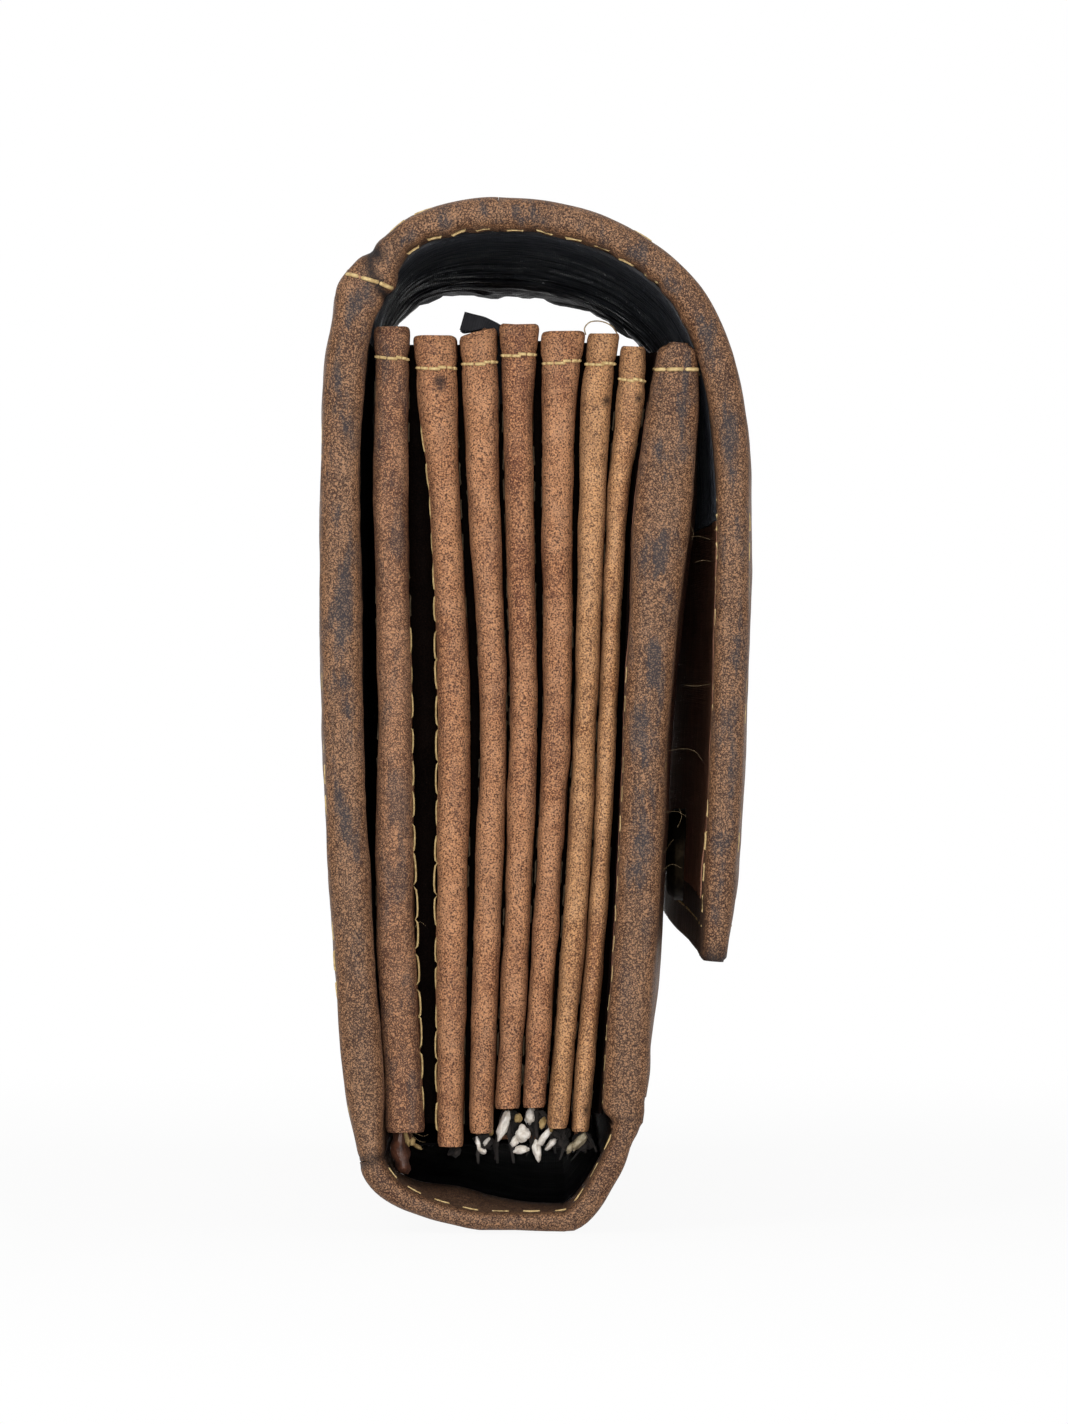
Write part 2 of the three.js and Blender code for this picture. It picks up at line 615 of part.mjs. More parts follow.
const tapeInside = DIVIDER_THICK / 2 + FIT + TAPE_THICK + FIT;
const coilLow = tapeTop - COIL_HEIGHT / 2;
const coilFrom = Math.max(coinLeft.centre(coilLow), coinLeft.centre(tapeTop)) + tapeInside;
const coilTo = Math.min(coinRight.centre(coilLow), coinRight.centre(tapeTop)) - tapeInside;
const zipX = (coilFrom + coilTo) / 2;
const coilHalf = (coilTo - coilFrom) / 2;
const coilTop = coilLow + COIL_HEIGHT;
const coilShape = new THREE.Shape();
coilShape.moveTo(-coilHalf, coilLow);
coilShape.lineTo(coilHalf, coilLow);
coilShape.lineTo(coilHalf, coilTop - coilHalf * 0.6);
coilShape.quadraticCurveTo(coilHalf, coilTop, 0, coilTop);
coilShape.quadraticCurveTo(-coilHalf, coilTop, -coilHalf, coilTop - coilHalf * 0.6);
coilShape.closePath();

// A shape drawn in (X, Z), drawn out along Y about the given place.
function drawnAlongY(shape, length, x, y) {
  const options = { depth: length, bevelEnabled: false, curveSegments: 4 };
  const geometry = new THREE.ExtrudeGeometry(shape, options);
  geometry.rotateX(Math.PI / 2);
  geometry.translate(x, y + length / 2, 0);
  return geometry;
}
add("zip_coil", drawnAlongY(coilShape, 2 * tapeReach, zipX, 0), blackCloth());

// Slider: plate with a loop, drawn in (Y, Z) so that the pull's bar passes through it along X

const plateLow = coilTop + RIDE_GAP;
const plateTop = plateLow + SLIDER_PLATE;
const sliderY = HALF - SLIDER_FROM_END;
const loopRoom = Math.hypot(PULL_BAR, PULL_THICK) + RIDE_GAP;
const loopHalf = loopRoom / 2;
function boxAt(width, length, height, x, y, low) {
  const geometry = new THREE.BoxGeometry(width, length, height);
  geometry.translate(x, y, low + height / 2);
  return geometry;
}
const plateShape = new THREE.Shape();
const plateCorner = SLIDER_WIDTH * 0.36;
plateShape.moveTo(-SLIDER_WIDTH / 2, -SLIDER_LENGTH / 2 + plateCorner);
plateShape.lineTo(-SLIDER_WIDTH / 2 + plateCorner, -SLIDER_LENGTH / 2);
plateShape.lineTo(SLIDER_WIDTH / 2 - plateCorner, -SLIDER_LENGTH / 2);
plateShape.lineTo(SLIDER_WIDTH / 2, -SLIDER_LENGTH / 2 + plateCorner);
plateShape.lineTo(SLIDER_WIDTH / 2, SLIDER_LENGTH / 2);
plateShape.lineTo(-SLIDER_WIDTH / 2, SLIDER_LENGTH / 2);
plateShape.closePath();
const plate = new THREE.ExtrudeGeometry(plateShape, { depth: SLIDER_PLATE, bevelEnabled: false });
plate.translate(zipX, sliderY, plateLow);
const loopFoot = SLIDER_PLATE / 4; // how deep the loop is let into the plate
const loopSpan = 2 * (loopHalf + BRIDGE_BAR);
const loopHeight = loopFoot + loopRoom + BRIDGE_BAR;
const loopOuter = boxAt(BRIDGE_WIDTH, loopSpan, loopHeight, zipX, sliderY, plateTop - loopFoot);
const loopInner = boxAt(2 * BRIDGE_WIDTH, 2 * loopHalf, loopRoom, zipX, sliderY, plateTop);

add("zip_slider", join(plate, cut(loopOuter, loopInner)), brass());

// Pull: flat tab with an eye, lying along the zip towards the near end

const pullAxis = plateTop + loopHalf;
const pullShape = new THREE.Shape();
const pullHalf = PULL_WIDTH / 2;
const pullFree = PULL_BAR / 2 - PULL_LENGTH;
pullShape.moveTo(-pullHalf, PULL_BAR / 2);
pullShape.lineTo(-pullHalf, pullFree + pullHalf);
pullShape.absarc(0, pullFree + pullHalf, pullHalf, Math.PI, 2 * Math.PI, false);
pullShape.lineTo(pullHalf, PULL_BAR / 2);
pullShape.closePath();
const eyeHalf = BRIDGE_WIDTH / 2 + RIDE_GAP;
const eye = new THREE.Path();
eye.moveTo(-eyeHalf, -PULL_BAR / 2);
eye.lineTo(eyeHalf, -PULL_BAR / 2);
eye.lineTo(eyeHalf, -PULL_BAR / 2 - PULL_EYE);
eye.lineTo(-eyeHalf, -PULL_BAR / 2 - PULL_EYE);
eye.closePath();
pullShape.holes.push(eye);
const pullOptions = { depth: PULL_THICK, bevelEnabled: false, curveSegments: 10 };
const pull = new THREE.ExtrudeGeometry(pullShape, pullOptions);
pull.translate(zipX, sliderY, pullAxis - PULL_THICK / 2);
add("zip_pull", pull, brass());

// The part's origin lies on the ground, under the middle of the closed wallet.
const box = new THREE.Box3().setFromObject(body);
body.position.set(-(box.min.x + box.max.x) / 2, -(box.min.y + box.max.y) / 2, -box.min.z);

// Axes of the folds, on the outer face of the leather, and of the zip.
const headOut = stationsOf(backLine).at(-1);
const flapAxis = headOut.point.clone().addScaledVector(headOut.inward, -BACK_THICK / 2);
const shoulderOut = stationsOf(hangLine)[0];
const shoulderAxis = shoulder.clone().addScaledVector(shoulderOut.inward, -flapHalf);
const frontAxis = at(frontOutside(FRONT_FOOT_HEIGHT), FRONT_FOOT_HEIGHT);
const inPart = (x, y, z) => new THREE.Vector3(x, y, z).add(body.position).toArray();
wallet.userData.axes = {
  flap_open: inPart(flapAxis.x, 0, flapAxis.y),
  flap_unbend: inPart(shoulderAxis.x, 0, shoulderAxis.y),
  front_open: inPart(frontAxis.x, 0, frontAxis.y),
  zip_slide: inPart(zipX, sliderY, plateLow),
  zip_pull: inPart(zipX, sliderY, pullAxis),
};

export default wallet;
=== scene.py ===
"""Long leather wallet: a cover with a fold-over flap around an accordion of seven leaves.

The wallet stands on its base. Its length runs along Y, the back is at -X and the hanging side
of the flap at +X. Sizes are in millimetres until a mesh is finished, then in metres.
"""
import logging
import math
import random
from dataclasses import dataclass
from enum import Enum
from typing import Callable, Optional, Sequence, Union

import bmesh
import bpy
from mathutils import Matrix, Vector, noise


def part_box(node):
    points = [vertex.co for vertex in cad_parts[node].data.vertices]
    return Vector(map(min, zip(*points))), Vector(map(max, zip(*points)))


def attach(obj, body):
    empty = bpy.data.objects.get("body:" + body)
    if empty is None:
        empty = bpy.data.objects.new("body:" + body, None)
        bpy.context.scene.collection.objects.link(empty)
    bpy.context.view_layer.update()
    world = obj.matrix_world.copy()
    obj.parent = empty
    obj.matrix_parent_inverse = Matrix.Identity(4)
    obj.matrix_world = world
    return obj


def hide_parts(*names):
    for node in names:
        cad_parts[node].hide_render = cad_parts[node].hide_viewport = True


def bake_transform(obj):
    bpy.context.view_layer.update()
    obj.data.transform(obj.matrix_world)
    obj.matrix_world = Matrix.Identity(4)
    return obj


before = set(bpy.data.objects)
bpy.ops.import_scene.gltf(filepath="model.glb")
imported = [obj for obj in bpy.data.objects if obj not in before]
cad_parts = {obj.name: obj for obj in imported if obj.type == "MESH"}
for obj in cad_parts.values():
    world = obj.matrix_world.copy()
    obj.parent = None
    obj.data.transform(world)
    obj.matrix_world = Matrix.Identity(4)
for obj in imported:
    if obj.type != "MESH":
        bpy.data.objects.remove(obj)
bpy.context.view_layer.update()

LOG = logging.getLogger("wallet")

MM = 0.001
SHIFT = -0.0704  # from the lines as drawn to the part's middle
HALF = 92.5  # half the length of the cover
EDGE_ROUND = 1.9  # rounding of the turned edges at both ends
TURNED_EDGE = 5.0  # leather turned over a lining
PLEAT_TIP = 91.0  # where the pleats end
PLEAT_DEPTH = 6.0  # how far a pleat wraps its divider
RECESS = 0.35  # how deep a lining lies under the turned edge
NOSE = 1.7  # how long the rounded nose of a pleat is
DIVIDER_HALF = 0.5  # half the thickness of a divider
WELD = 1e-4  # points closer than this become one

Tone = tuple[float, float, float]  # screen values from 0 to 255
Triple = tuple[float, float, float]
Flat = tuple[float, float]
Piece = bpy.types.Object
Shape = bmesh.types.BMesh
Socket = bpy.types.NodeSocket
Paint = Union[Socket, Tone]
Curve = Callable[[float], float]
Spot = tuple[Vector, Vector]  # a point and a direction from it


def at(x: float, z: float) -> Vector:
    """A point across the wallet, drawn from the middle of the picture line."""
    return Vector((x + SHIFT, z))


def ease(value: float, low: float, high: float) -> float:
    """Smooth step from 0 at low to 1 at high."""
    t = min(max((value - low) / (high - low), 0.0), 1.0)
    return t * t * (3 - 2 * t)


def linear(value: float) -> float:
    """Linear share of a screen value from 0 to 255."""
    c = value / 255
    return c / 12.92 if c <= 0.04045 else ((c + 0.055) / 1.055) ** 2.4


def colour(tone: Tone) -> tuple[float, float, float, float]:
    """Linear colour of a tone."""
    return (linear(tone[0]), linear(tone[1]), linear(tone[2]), 1.0)


def tinted(tone: Tone, red: float, green: float, blue: float) -> Tone:
    """A tone with each of its channels made stronger or weaker."""
    return (red * tone[0], green * tone[1], blue * tone[2])


# Lines and profiles


def end_name(side: int) -> str:
    """Name of an end of the wallet, by its side along Y."""
    return "near" if side < 0 else "far"


def bend(start: Vector, control: Vector, end: Vector, steps: int = 48) -> list[Vector]:
    """Draws a smooth bend.

    Args:
        start: its first point.
        control: the point that it is drawn towards.
        end: its last point.
        steps: how many steps it has.

    Returns:
        Its points in order.
    """
    points = []
    for k in range(steps + 1):
        t = k / steps
        points.append(start * (1 - t) ** 2 + control * (2 * t * (1 - t)) + end * t ** 2)
    return points


class Profile:
    """A smooth curve through values given at heights."""

    def __init__(self, heights: Sequence[float], values: Sequence[float]) -> None:
        """Works out the slopes.

        Args:
            heights: rising heights.
            values: the value at each height.
        """
        self.heights = list(heights)
        self.values = list(values)
        last = len(self.heights) - 1
        self.slopes = []
        for k in range(last + 1):
            a, b = max(k - 1, 0), min(k + 1, last)
            rise = self.heights[b] - self.heights[a]
            self.slopes.append((self.values[b] - self.values[a]) / rise)

    def __call__(self, z: float) -> float:
        """Reads the curve, which goes straight on beyond both ends.

        Args:
            z: the height.

        Returns:
            The value there.
        """
        h, v, m = self.heights, self.values, self.slopes
        if z <= h[0]:
            return v[0] + m[0] * (z - h[0])
        if z >= h[-1]:
            return v[-1] + m[-1] * (z - h[-1])
        k = max(i for i in range(len(h) - 1) if h[i] <= z)
        d = h[k + 1] - h[k]
        t = (z - h[k]) / d
        return ((2 * t ** 3 - 3 * t ** 2 + 1) * v[k] + (t ** 3 - 2 * t ** 2 + t) * d * m[k]
                + (3 * t ** 2 - 2 * t ** 3) * v[k + 1] + (t ** 3 - t ** 2) * d * m[k + 1])


class Course:
    """A line across the wallet, in (x, z), that a sheet of leather or cloth follows."""

    def __init__(self, points: Sequence[Vector], inside: int) -> None:
        """Measures the line and its inward normals.

        Args:
            points: closely spaced points in order.
            inside: 1 where the inside of the wallet lies to the left of the line, else -1.
        """
        self.points = [points[0]]
        for point in points[1:]:
            if (point - self.points[-1]).length > WELD:
                self.points.append(point)
        self.stops = [0.0]
        for a, b in zip(self.points, self.points[1:]):
            self.stops.append(self.stops[-1] + (b - a).length)
        self.normals = []
        for k in range(len(self.points)):
            a = self.points[max(k - 2, 0)]
            b = self.points[min(k + 2, len(self.points) - 1)]
            along = (b - a).normalized()
            self.normals.append(Vector((-along.y, along.x)) * inside)
        self.inside = inside

    @property
    def length(self) -> float:
        """Length of the line."""
        return self.stops[-1]

    def place(self, s: float) -> Spot:
        """Finds a place on the line.

        Args:
            s: distance along the line.

        Returns:
            The point and the inward normal there.
        """
        low, high = 0, len(self.stops) - 2
        while low < high:
            middle = (low + high + 1) // 2
            if self.stops[middle] <= s:
                low = middle
            else:
                high = middle - 1
        t = (s - self.stops[low]) / (self.stops[low + 1] - self.stops[low])
        point = self.points[low].lerp(self.points[low + 1], t)
        return point, self.normals[low].lerp(self.normals[low + 1], min(max(t, 0), 1)).normalized()

    def on(self, s: float, depth: float, y: float) -> Vector:
        """Finds a place beside the line.

        Args:
            s: distance along the line.
            depth: distance from it towards the inside.
            y: place along the wallet.

        Returns:
            The point.
        """
        point, inward = self.place(s)
        point = point + inward * depth
        return Vector((point.x, y, point.y))

    def inward(self, s: float) -> Vector:
        """Direction towards the inside at distance s."""
        normal = self.place(s)[1]
        return Vector((normal.x, 0, normal.y))

    def nearest(self, target: Vector) -> float:
        """Distance along the line of the point nearest to target."""
        k = min(range(len(self.points)), key=lambda i: (self.points[i] - target).length)
        return self.stops[k]


def spaced(first: float, last: float, step: float, fine: Sequence[float] = ()) -> list[float]:
    """Sets out stops about a step apart, with closer ones at both ends.

    Args:
        first: the first stop.
        last: the last one.
        step: how far apart they are.
        fine: distances of the closer ones from either end.

    Returns:
        The stops in rising order.
    """
    count = max(int((last - first) / step), 2)
    stops = {first + (last - first) * k / count for k in range(count + 1)}
    for d in fine:
        stops |= {first + d, last - d}
    return sorted(stops)


# Meshes


def gridded(rows: Sequence, columns: Sequence, place: Callable[..., Vector]) -> Shape:
    """Lays out a sheet of quads.

    Args:
        rows: what place is told of each row.
        columns: what it is told of each column.
        place: gives the point of a row and a column, in millimetres.

    Returns:
        The sheet, with the layers row and column on its points.
    """
    bm = bmesh.new()
    along, across = len(rows) - 1, len(columns) - 1
    bmesh.ops.create_grid(bm, x_segments=along, y_segments=across, size=0.5)
    row = bm.verts.layers.int.new("row")
    column = bm.verts.layers.int.new("column")
    for v in bm.verts:
        v[row] = round((v.co.x + 0.5) * along)
        v[column] = round((v.co.y + 0.5) * across)
        v.co = place(rows[v[row]], columns[v[column]])
    return bm


def weave_map(bm: Shape, rows: Sequence[float], columns: Sequence[float]) -> None:
    """Lays a UV map in decimetres.

    Args:
        bm: a sheet from gridded.
        rows: millimetres along the weave at each row.
        columns: millimetres across it at each column.
    """
    row, column = bm.verts.layers.int["row"], bm.verts.layers.int["column"]
    uv = bm.loops.layers.uv.new("cloth")
    for face in bm.faces:
        for loop in face.loops:
            loop[uv].uv = (rows[loop.vert[row]] / 100, columns[loop.vert[column]] / 100)


def close(bm: Shape) -> None:
    """Welds a sheet that was wrapped round on itself and closes its open ends.

    Args:
        bm: the sheet.
    """
    bmesh.ops.remove_doubles(bm, verts=bm.verts, dist=WELD)
    rims = [e for e in bm.edges if e.is_boundary]
    if rims:
        bmesh.ops.holes_fill(bm, edges=rims, sides=0)


@dataclass(frozen=True)
class Crumple:
    """Soft lumps that leather takes on in use."""

    amount: float
    size: float
    seed: float

    def rise(self, point: Vector) -> float:
        """How far the surface stands out at a point."""
        shift = Vector((self.seed, self.seed * 2, -self.seed))
        return self.amount * noise.noise(point / self.size + shift)

    def press(self, bm: Shape) -> None:
        """Moves a whole surface in and out.

        Args:
            bm: the surface.
        """
        bm.normal_update()
        moves = [(v, v.normal * self.rise(v.co)) for v in bm.verts]
        for v, move in moves:
            v.co += move


def thicken(bm: Shape, thickness: float) -> None:
    """Gives a single sheet its thickness, half to each side.

    Args:
        bm: the sheet.
        thickness: in millimetres.
    """
    bm.normal_update()
    for v in bm.verts:
        v.co += v.normal * (thickness / 2)
    bmesh.ops.solidify(bm, geom=bm.faces[:], thickness=thickness)


def finished(bm: Shape, name: str, finish: "Finish", slot: str, body: str = "",
             nodes: Sequence[str] = (), crease: float = 55.0) -> Piece:
    """Turns a bmesh into a piece of the wallet.

    Args:
        bm: the shape, in millimetres.
        name: the piece's name.
        finish: its finish.
        slot: the record's material slot; not used.
        body: the body that it rides on, or nothing.
        nodes: the solids that it replaces.
        crease: edges sharper than this angle stay sharp.

    Returns:
        The new object.
    """
    bmesh.ops.scale(bm, vec=(MM, MM, MM), verts=bm.verts)
    bmesh.ops.recalc_face_normals(bm, faces=bm.faces)
    for face in bm.faces:
        face.smooth = True
    for edge in bm.edges:
        edge.smooth = edge.calc_face_angle(0.0) < math.radians(crease)
    mesh = bpy.data.meshes.new(name)
    bm.to_mesh(mesh)
    bm.free()
    mesh.materials.append(finish.material)
    piece = bpy.data.objects.new(name, mesh)
    bpy.context.scene.collection.objects.link(piece)
    if body:
        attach(piece, body)
    if nodes:
        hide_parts(*nodes)
    LOG.info("%s: %d faces", name, len(mesh.polygons))
    return piece


# Finishes


class Shader:
    """A node material with a few helpers that read the piece's own coordinates."""

    def __init__(self, name: str) -> None:
        """Starts a material whose patterns are in millimetres.

        Args:
            name: the material's name.
        """
        self.material = bpy.data.materials.new(name)
        self.material.use_nodes = True
        self.nodes = self.material.node_tree.nodes
        self.links = self.material.node_tree.links
        self.skin = self.nodes["Principled BSDF"]
        self.place = self._scaled("Object", 1 / MM)

    def node(self, kind: str, inputs: dict) -> bpy.types.Node:
        """Adds a node.

        Args:
            kind: its kind in Blender.
            inputs: sockets to link and values to set, by the name or number of the input.

        Returns:
            The node.
        """
        node = self.nodes.new(kind)
        for key, value in inputs.items():
            if isinstance(value, Socket):
                self.links.new(value, node.inputs[key])
            else:
                node.inputs[key].default_value = value
        return node

    def _scaled(self, source: str, scale: float) -> Socket:
        """A coordinate output of the piece, scaled."""
        coordinates = self.nodes.new("ShaderNodeTexCoord")
        return self.stretched(coordinates.outputs[source], (scale, scale, scale))

    def cloth_place(self) -> Socket:
        """The piece's own weave map in millimetres."""
        return self._scaled("UV", 100.0)

    def stretched(self, source: Socket, scale: Triple) -> Socket:
        """A coordinate drawn out by a factor along each axis."""
        node = self.node("ShaderNodeMapping", {"Vector": source, "Scale": scale})
        return node.outputs["Vector"]

    def lumps(self, scale: float, detail: float = 3.0, rough: float = 0.55,
              source: Optional[Socket] = None) -> Socket:
        """Soft noise with scale lumps to the millimetre."""
        node = self.node("ShaderNodeTexNoise", {"Vector": source or self.place, "Scale": scale,
                                                "Detail": detail, "Roughness": rough})
        return node.outputs["Fac"]

    def ribs(self, scale: float, direction: str, source: Socket, wander: float) -> Socket:
        """Makes even bands.

        Args:
            scale: how close they are.
            direction: the axis that they lie across.
            source: the coordinate that they follow.
            wander: how uneven they are.

        Returns:
            Their height.
        """
        node = self.node("ShaderNodeTexWave", {"Vector": source, "Scale": scale,
                                               "Distortion": wander})
        node.bands_direction = direction
        return node.outputs["Fac"]

    def painted(self, name: str) -> Socket:
        """Reads a value painted on the piece's points.

        Args:
            name: the layer that holds it.

        Returns:
            The value, 0 where the piece has no such layer.
        """
        node = self.nodes.new("ShaderNodeAttribute")
        node.attribute_name = name
        return node.outputs["Fac"]

    def levels(self, value: Socket, low: float, high: float, to_low: float = 0.0,
               to_high: float = 1.0) -> Socket:
        """A value mapped from low..high to another range and held there."""
        node = self.node("ShaderNodeMapRange", {"Value": value, "From Min": low, "From Max": high,
                                                "To Min": to_low, "To Max": to_high})
        return node.outputs["Result"]

    def math(self, kind: str, a: Socket, b: Union[Socket, float]) -> Socket:
        """Puts two values together.

        Args:
            kind: the operation.
            a: the first value.
            b: the second one, a socket or a number.

        Returns:
            The result.
        """
        node = self.node("ShaderNodeMath", {0: a, 1: b})
        node.operation = kind
        return node.outputs[0]

    def blend(self, share: Socket, first: Paint, second: Paint) -> Socket:
        """Mixes two colours, each a socket or a tone.

        Args:
            share: how much there is of the second.
            first: the colour where that is 0.
            second: the colour where that is 1.

        Returns:
            The mixed colour.
        """
        node = self.nodes.new("ShaderNodeMix")
        node.data_type = "RGBA"
        self.links.new(share, node.inputs[0])
        for slot, side in ((6, first), (7, second)):
            if isinstance(side, tuple):
                node.inputs[slot].default_value = colour(side)
            else:
                self.links.new(side, node.inputs[slot])
        return node.outputs[2]

    def relief(self, height: Socket, depth: float, strength: float) -> None:
        """Raises the surface by a height of up to depth millimetres."""
        node = self.node("ShaderNodeBump", {"Height": height, "Distance": depth * MM,
                                            "Strength": strength})
        self.links.new(node.outputs["Normal"], self.skin.inputs["Normal"])

    def set(self, name: str, value: Union[float, Sequence[float]]) -> None:
        """Sets a plain value of the surface."""
        self.skin.inputs[name].default_value = value

    def surface(self, base: Socket, rough: Socket) -> None:
        """Sets the colour and the roughness."""
        self.links.new(base, self.skin.inputs["Base Color"])
        self.links.new(rough, self.skin.inputs["Roughness"])


@dataclass(frozen=True)
class Leather:
    """Oiled hide with a fine dark grain, rubbed blue-grey where the edges wear."""

    name: str
    deep: Tone
    body: Tone
    light: Tone
    grain: float = 0.5  # strength of the dark grain
    fine: float = 7.0  # grains to the millimetre
    pebbled: bool = False  # a net of dark lines, not single pores
    rub: Tone = (54, 47, 48)
    ridge: Tone = (128, 103, 84)
    rough: float = 0.62
    gloss: float = 0.2

    def grained(self, s: Shader) -> Socket:
        """Makes the grain.

        Args:
            s: the shader that it is made in.

        Returns:
            Its height, from 0.3 in a pore to 0.7 on a pebble.
        """
        grain = s.lumps(self.fine, 1.2, 0.55)
        if not self.pebbled:
            return grain
        away = s.math("ABSOLUTE", s.math("SUBTRACT", grain, 0.5), 0.0)
        return s.levels(away, 0.0, 0.16, 0.32, 0.7)

    def material(self) -> bpy.types.Material:
        """Makes the node material.

        Returns:
            The material.
        """
        s = Shader(self.name)
        tall = s.stretched(s.place, (1.0, 1.0, 0.4))
        broad = s.levels(s.lumps(0.11, 4.0, 0.6, tall), 0.39, 0.61)
        mottle = s.levels(s.lumps(0.34, 5.0, 0.7), 0.36, 0.64)
        grain = self.grained(s)
        base = s.blend(broad, self.deep, self.body)
        base = s.blend(s.math("MULTIPLY", mottle, 0.66), base, self.light)
        if self.pebbled:
            cloud = s.levels(s.lumps(0.03, 4.0, 0.6), 0.44, 0.62, 0.0, 0.5)
            base = s.blend(cloud, base, self.deep)
        blot = s.levels(s.lumps(0.24, 5.0, 0.66, tall), 0.5, 0.67, 0.0, 0.74)
        base = s.blend(blot, base, tinted(self.deep, 0.86, 0.76, 0.76))
        base = s.blend(s.painted("oiled"), base, tinted(self.body, 1.1, 0.96, 0.72))
        pores = s.levels(grain, 0.5, 0.36, 0.0, self.grain)
        base = s.blend(pores, base, tinted(self.body, 0.44, 0.36, 0.34))
        tops = s.levels(grain, 0.53, 0.66, 0.0, 0.65 if self.pebbled else 0.75)
        base = s.blend(tops, base, tinted(self.light, 1.1, 1.06, 0.98))
        scratch = s.lumps(0.9, 3.0, 0.6, s.stretched(s.place, (0.22, 0.18, 1.3)))
        base = s.blend(s.levels(scratch, 0.63, 0.71, 0.0, 0.3), base, self.light)
        worn = s.blend(s.levels(grain, 0.47, 0.64, 0.0, 0.7), self.rub, self.ridge)
        patch = s.stretched(s.place, (1.0, 1.0, 0.34))
        rubbed = s.levels(s.lumps(0.5, 5.0, 0.68, patch), 0.5, 0.6, 0.0, 0.95)
        base = s.blend(s.math("MULTIPLY", rubbed, s.painted("rub")), base, worn)
        # Real stains, and painted shade in creases and at the sides of the pleats, darken towards
        # near-black.
        base = s.blend(s.painted("stain_and_shade"), base, (24, 18, 18))
        s.surface(base, s.levels(mottle, 0.0, 1.0, self.rough + 0.08, self.rough - 0.08))
        creased = s.lumps(1.1, 3.0, 0.6)
        height = s.math("ADD", s.math("MULTIPLY", grain, 0.5), s.math("MULTIPLY", creased, 0.6))
        s.relief(height, 0.24, 0.6)
        s.set("Specular IOR Level", self.gloss)
        return s.material


@dataclass(frozen=True)
class Cloth:
    """Woven lining with a soft sheen, puckered along its length."""

    name: str
    body: Tone
    light: Tone
    threads: float  # threads to the millimetre
    sheen: float = 0.2
    rough: float = 0.72
    gloss: float = 0.16

    def material(self) -> bpy.types.Material:
        """Makes the node material.

        Returns:
            The material.
        """
        s = Shader(self.name)
        sheet = s.cloth_place()
        warp = s.ribs(self.threads * 0.5, "X", sheet, 0.6)
        weft = s.ribs(self.threads * 0.5, "Y", sheet, 0.6)
        woven = s.math("ADD", s.math("MULTIPLY", warp, 0.5), s.math("MULTIPLY", weft, 0.5))
        pucker = s.lumps(0.8, 3.0, 0.6, s.stretched(sheet, (0.22, 1.0, 1.0)))
        # Lighter patches: partly wear, partly a painted sheen on the cloth.
        worn = s.levels(s.lumps(0.2, 4.0, 0.6), 0.4, 0.7)
        base = s.blend(s.math("MULTIPLY", worn, woven), self.body, self.light)
        s.surface(base, s.levels(worn, 0.0, 1.0, self.rough, self.rough - 0.16))
        s.relief(s.math("ADD", s.math("MULTIPLY", woven, 0.06), pucker), 0.6, 0.7)
        s.set("Specular IOR Level", self.gloss)
        s.set("Sheen Weight", self.sheen)
        s.set("Sheen Roughness", 0.35)
        s.set("Sheen Tint", colour((196, 204, 220)))
        return s.material


@dataclass(frozen=True)
class Spotted:
    """Any plain stuff whose tone wanders: thread, glue, board, metal."""

    name: str
    body: Tone
    light: Tone
    scale: float
    rough: float
    metal: float = 0.0
    depth: float = 0.05

    def material(self) -> bpy.types.Material:
        """Makes the node material.

        Returns:
            The material.
        """
        s = Shader(self.name)
        spots = s.levels(s.lumps(self.scale, 4.0, 0.6), 0.35, 0.65)
        s.surface(s.blend(spots, self.body, self.light),
                  s.levels(spots, 0.0, 1.0, self.rough + 0.1, self.rough - 0.08))
        s.relief(s.lumps(self.scale * 3, 3.0, 0.6), self.depth, 0.5)
        s.set("Metallic", self.metal)
        return s.material


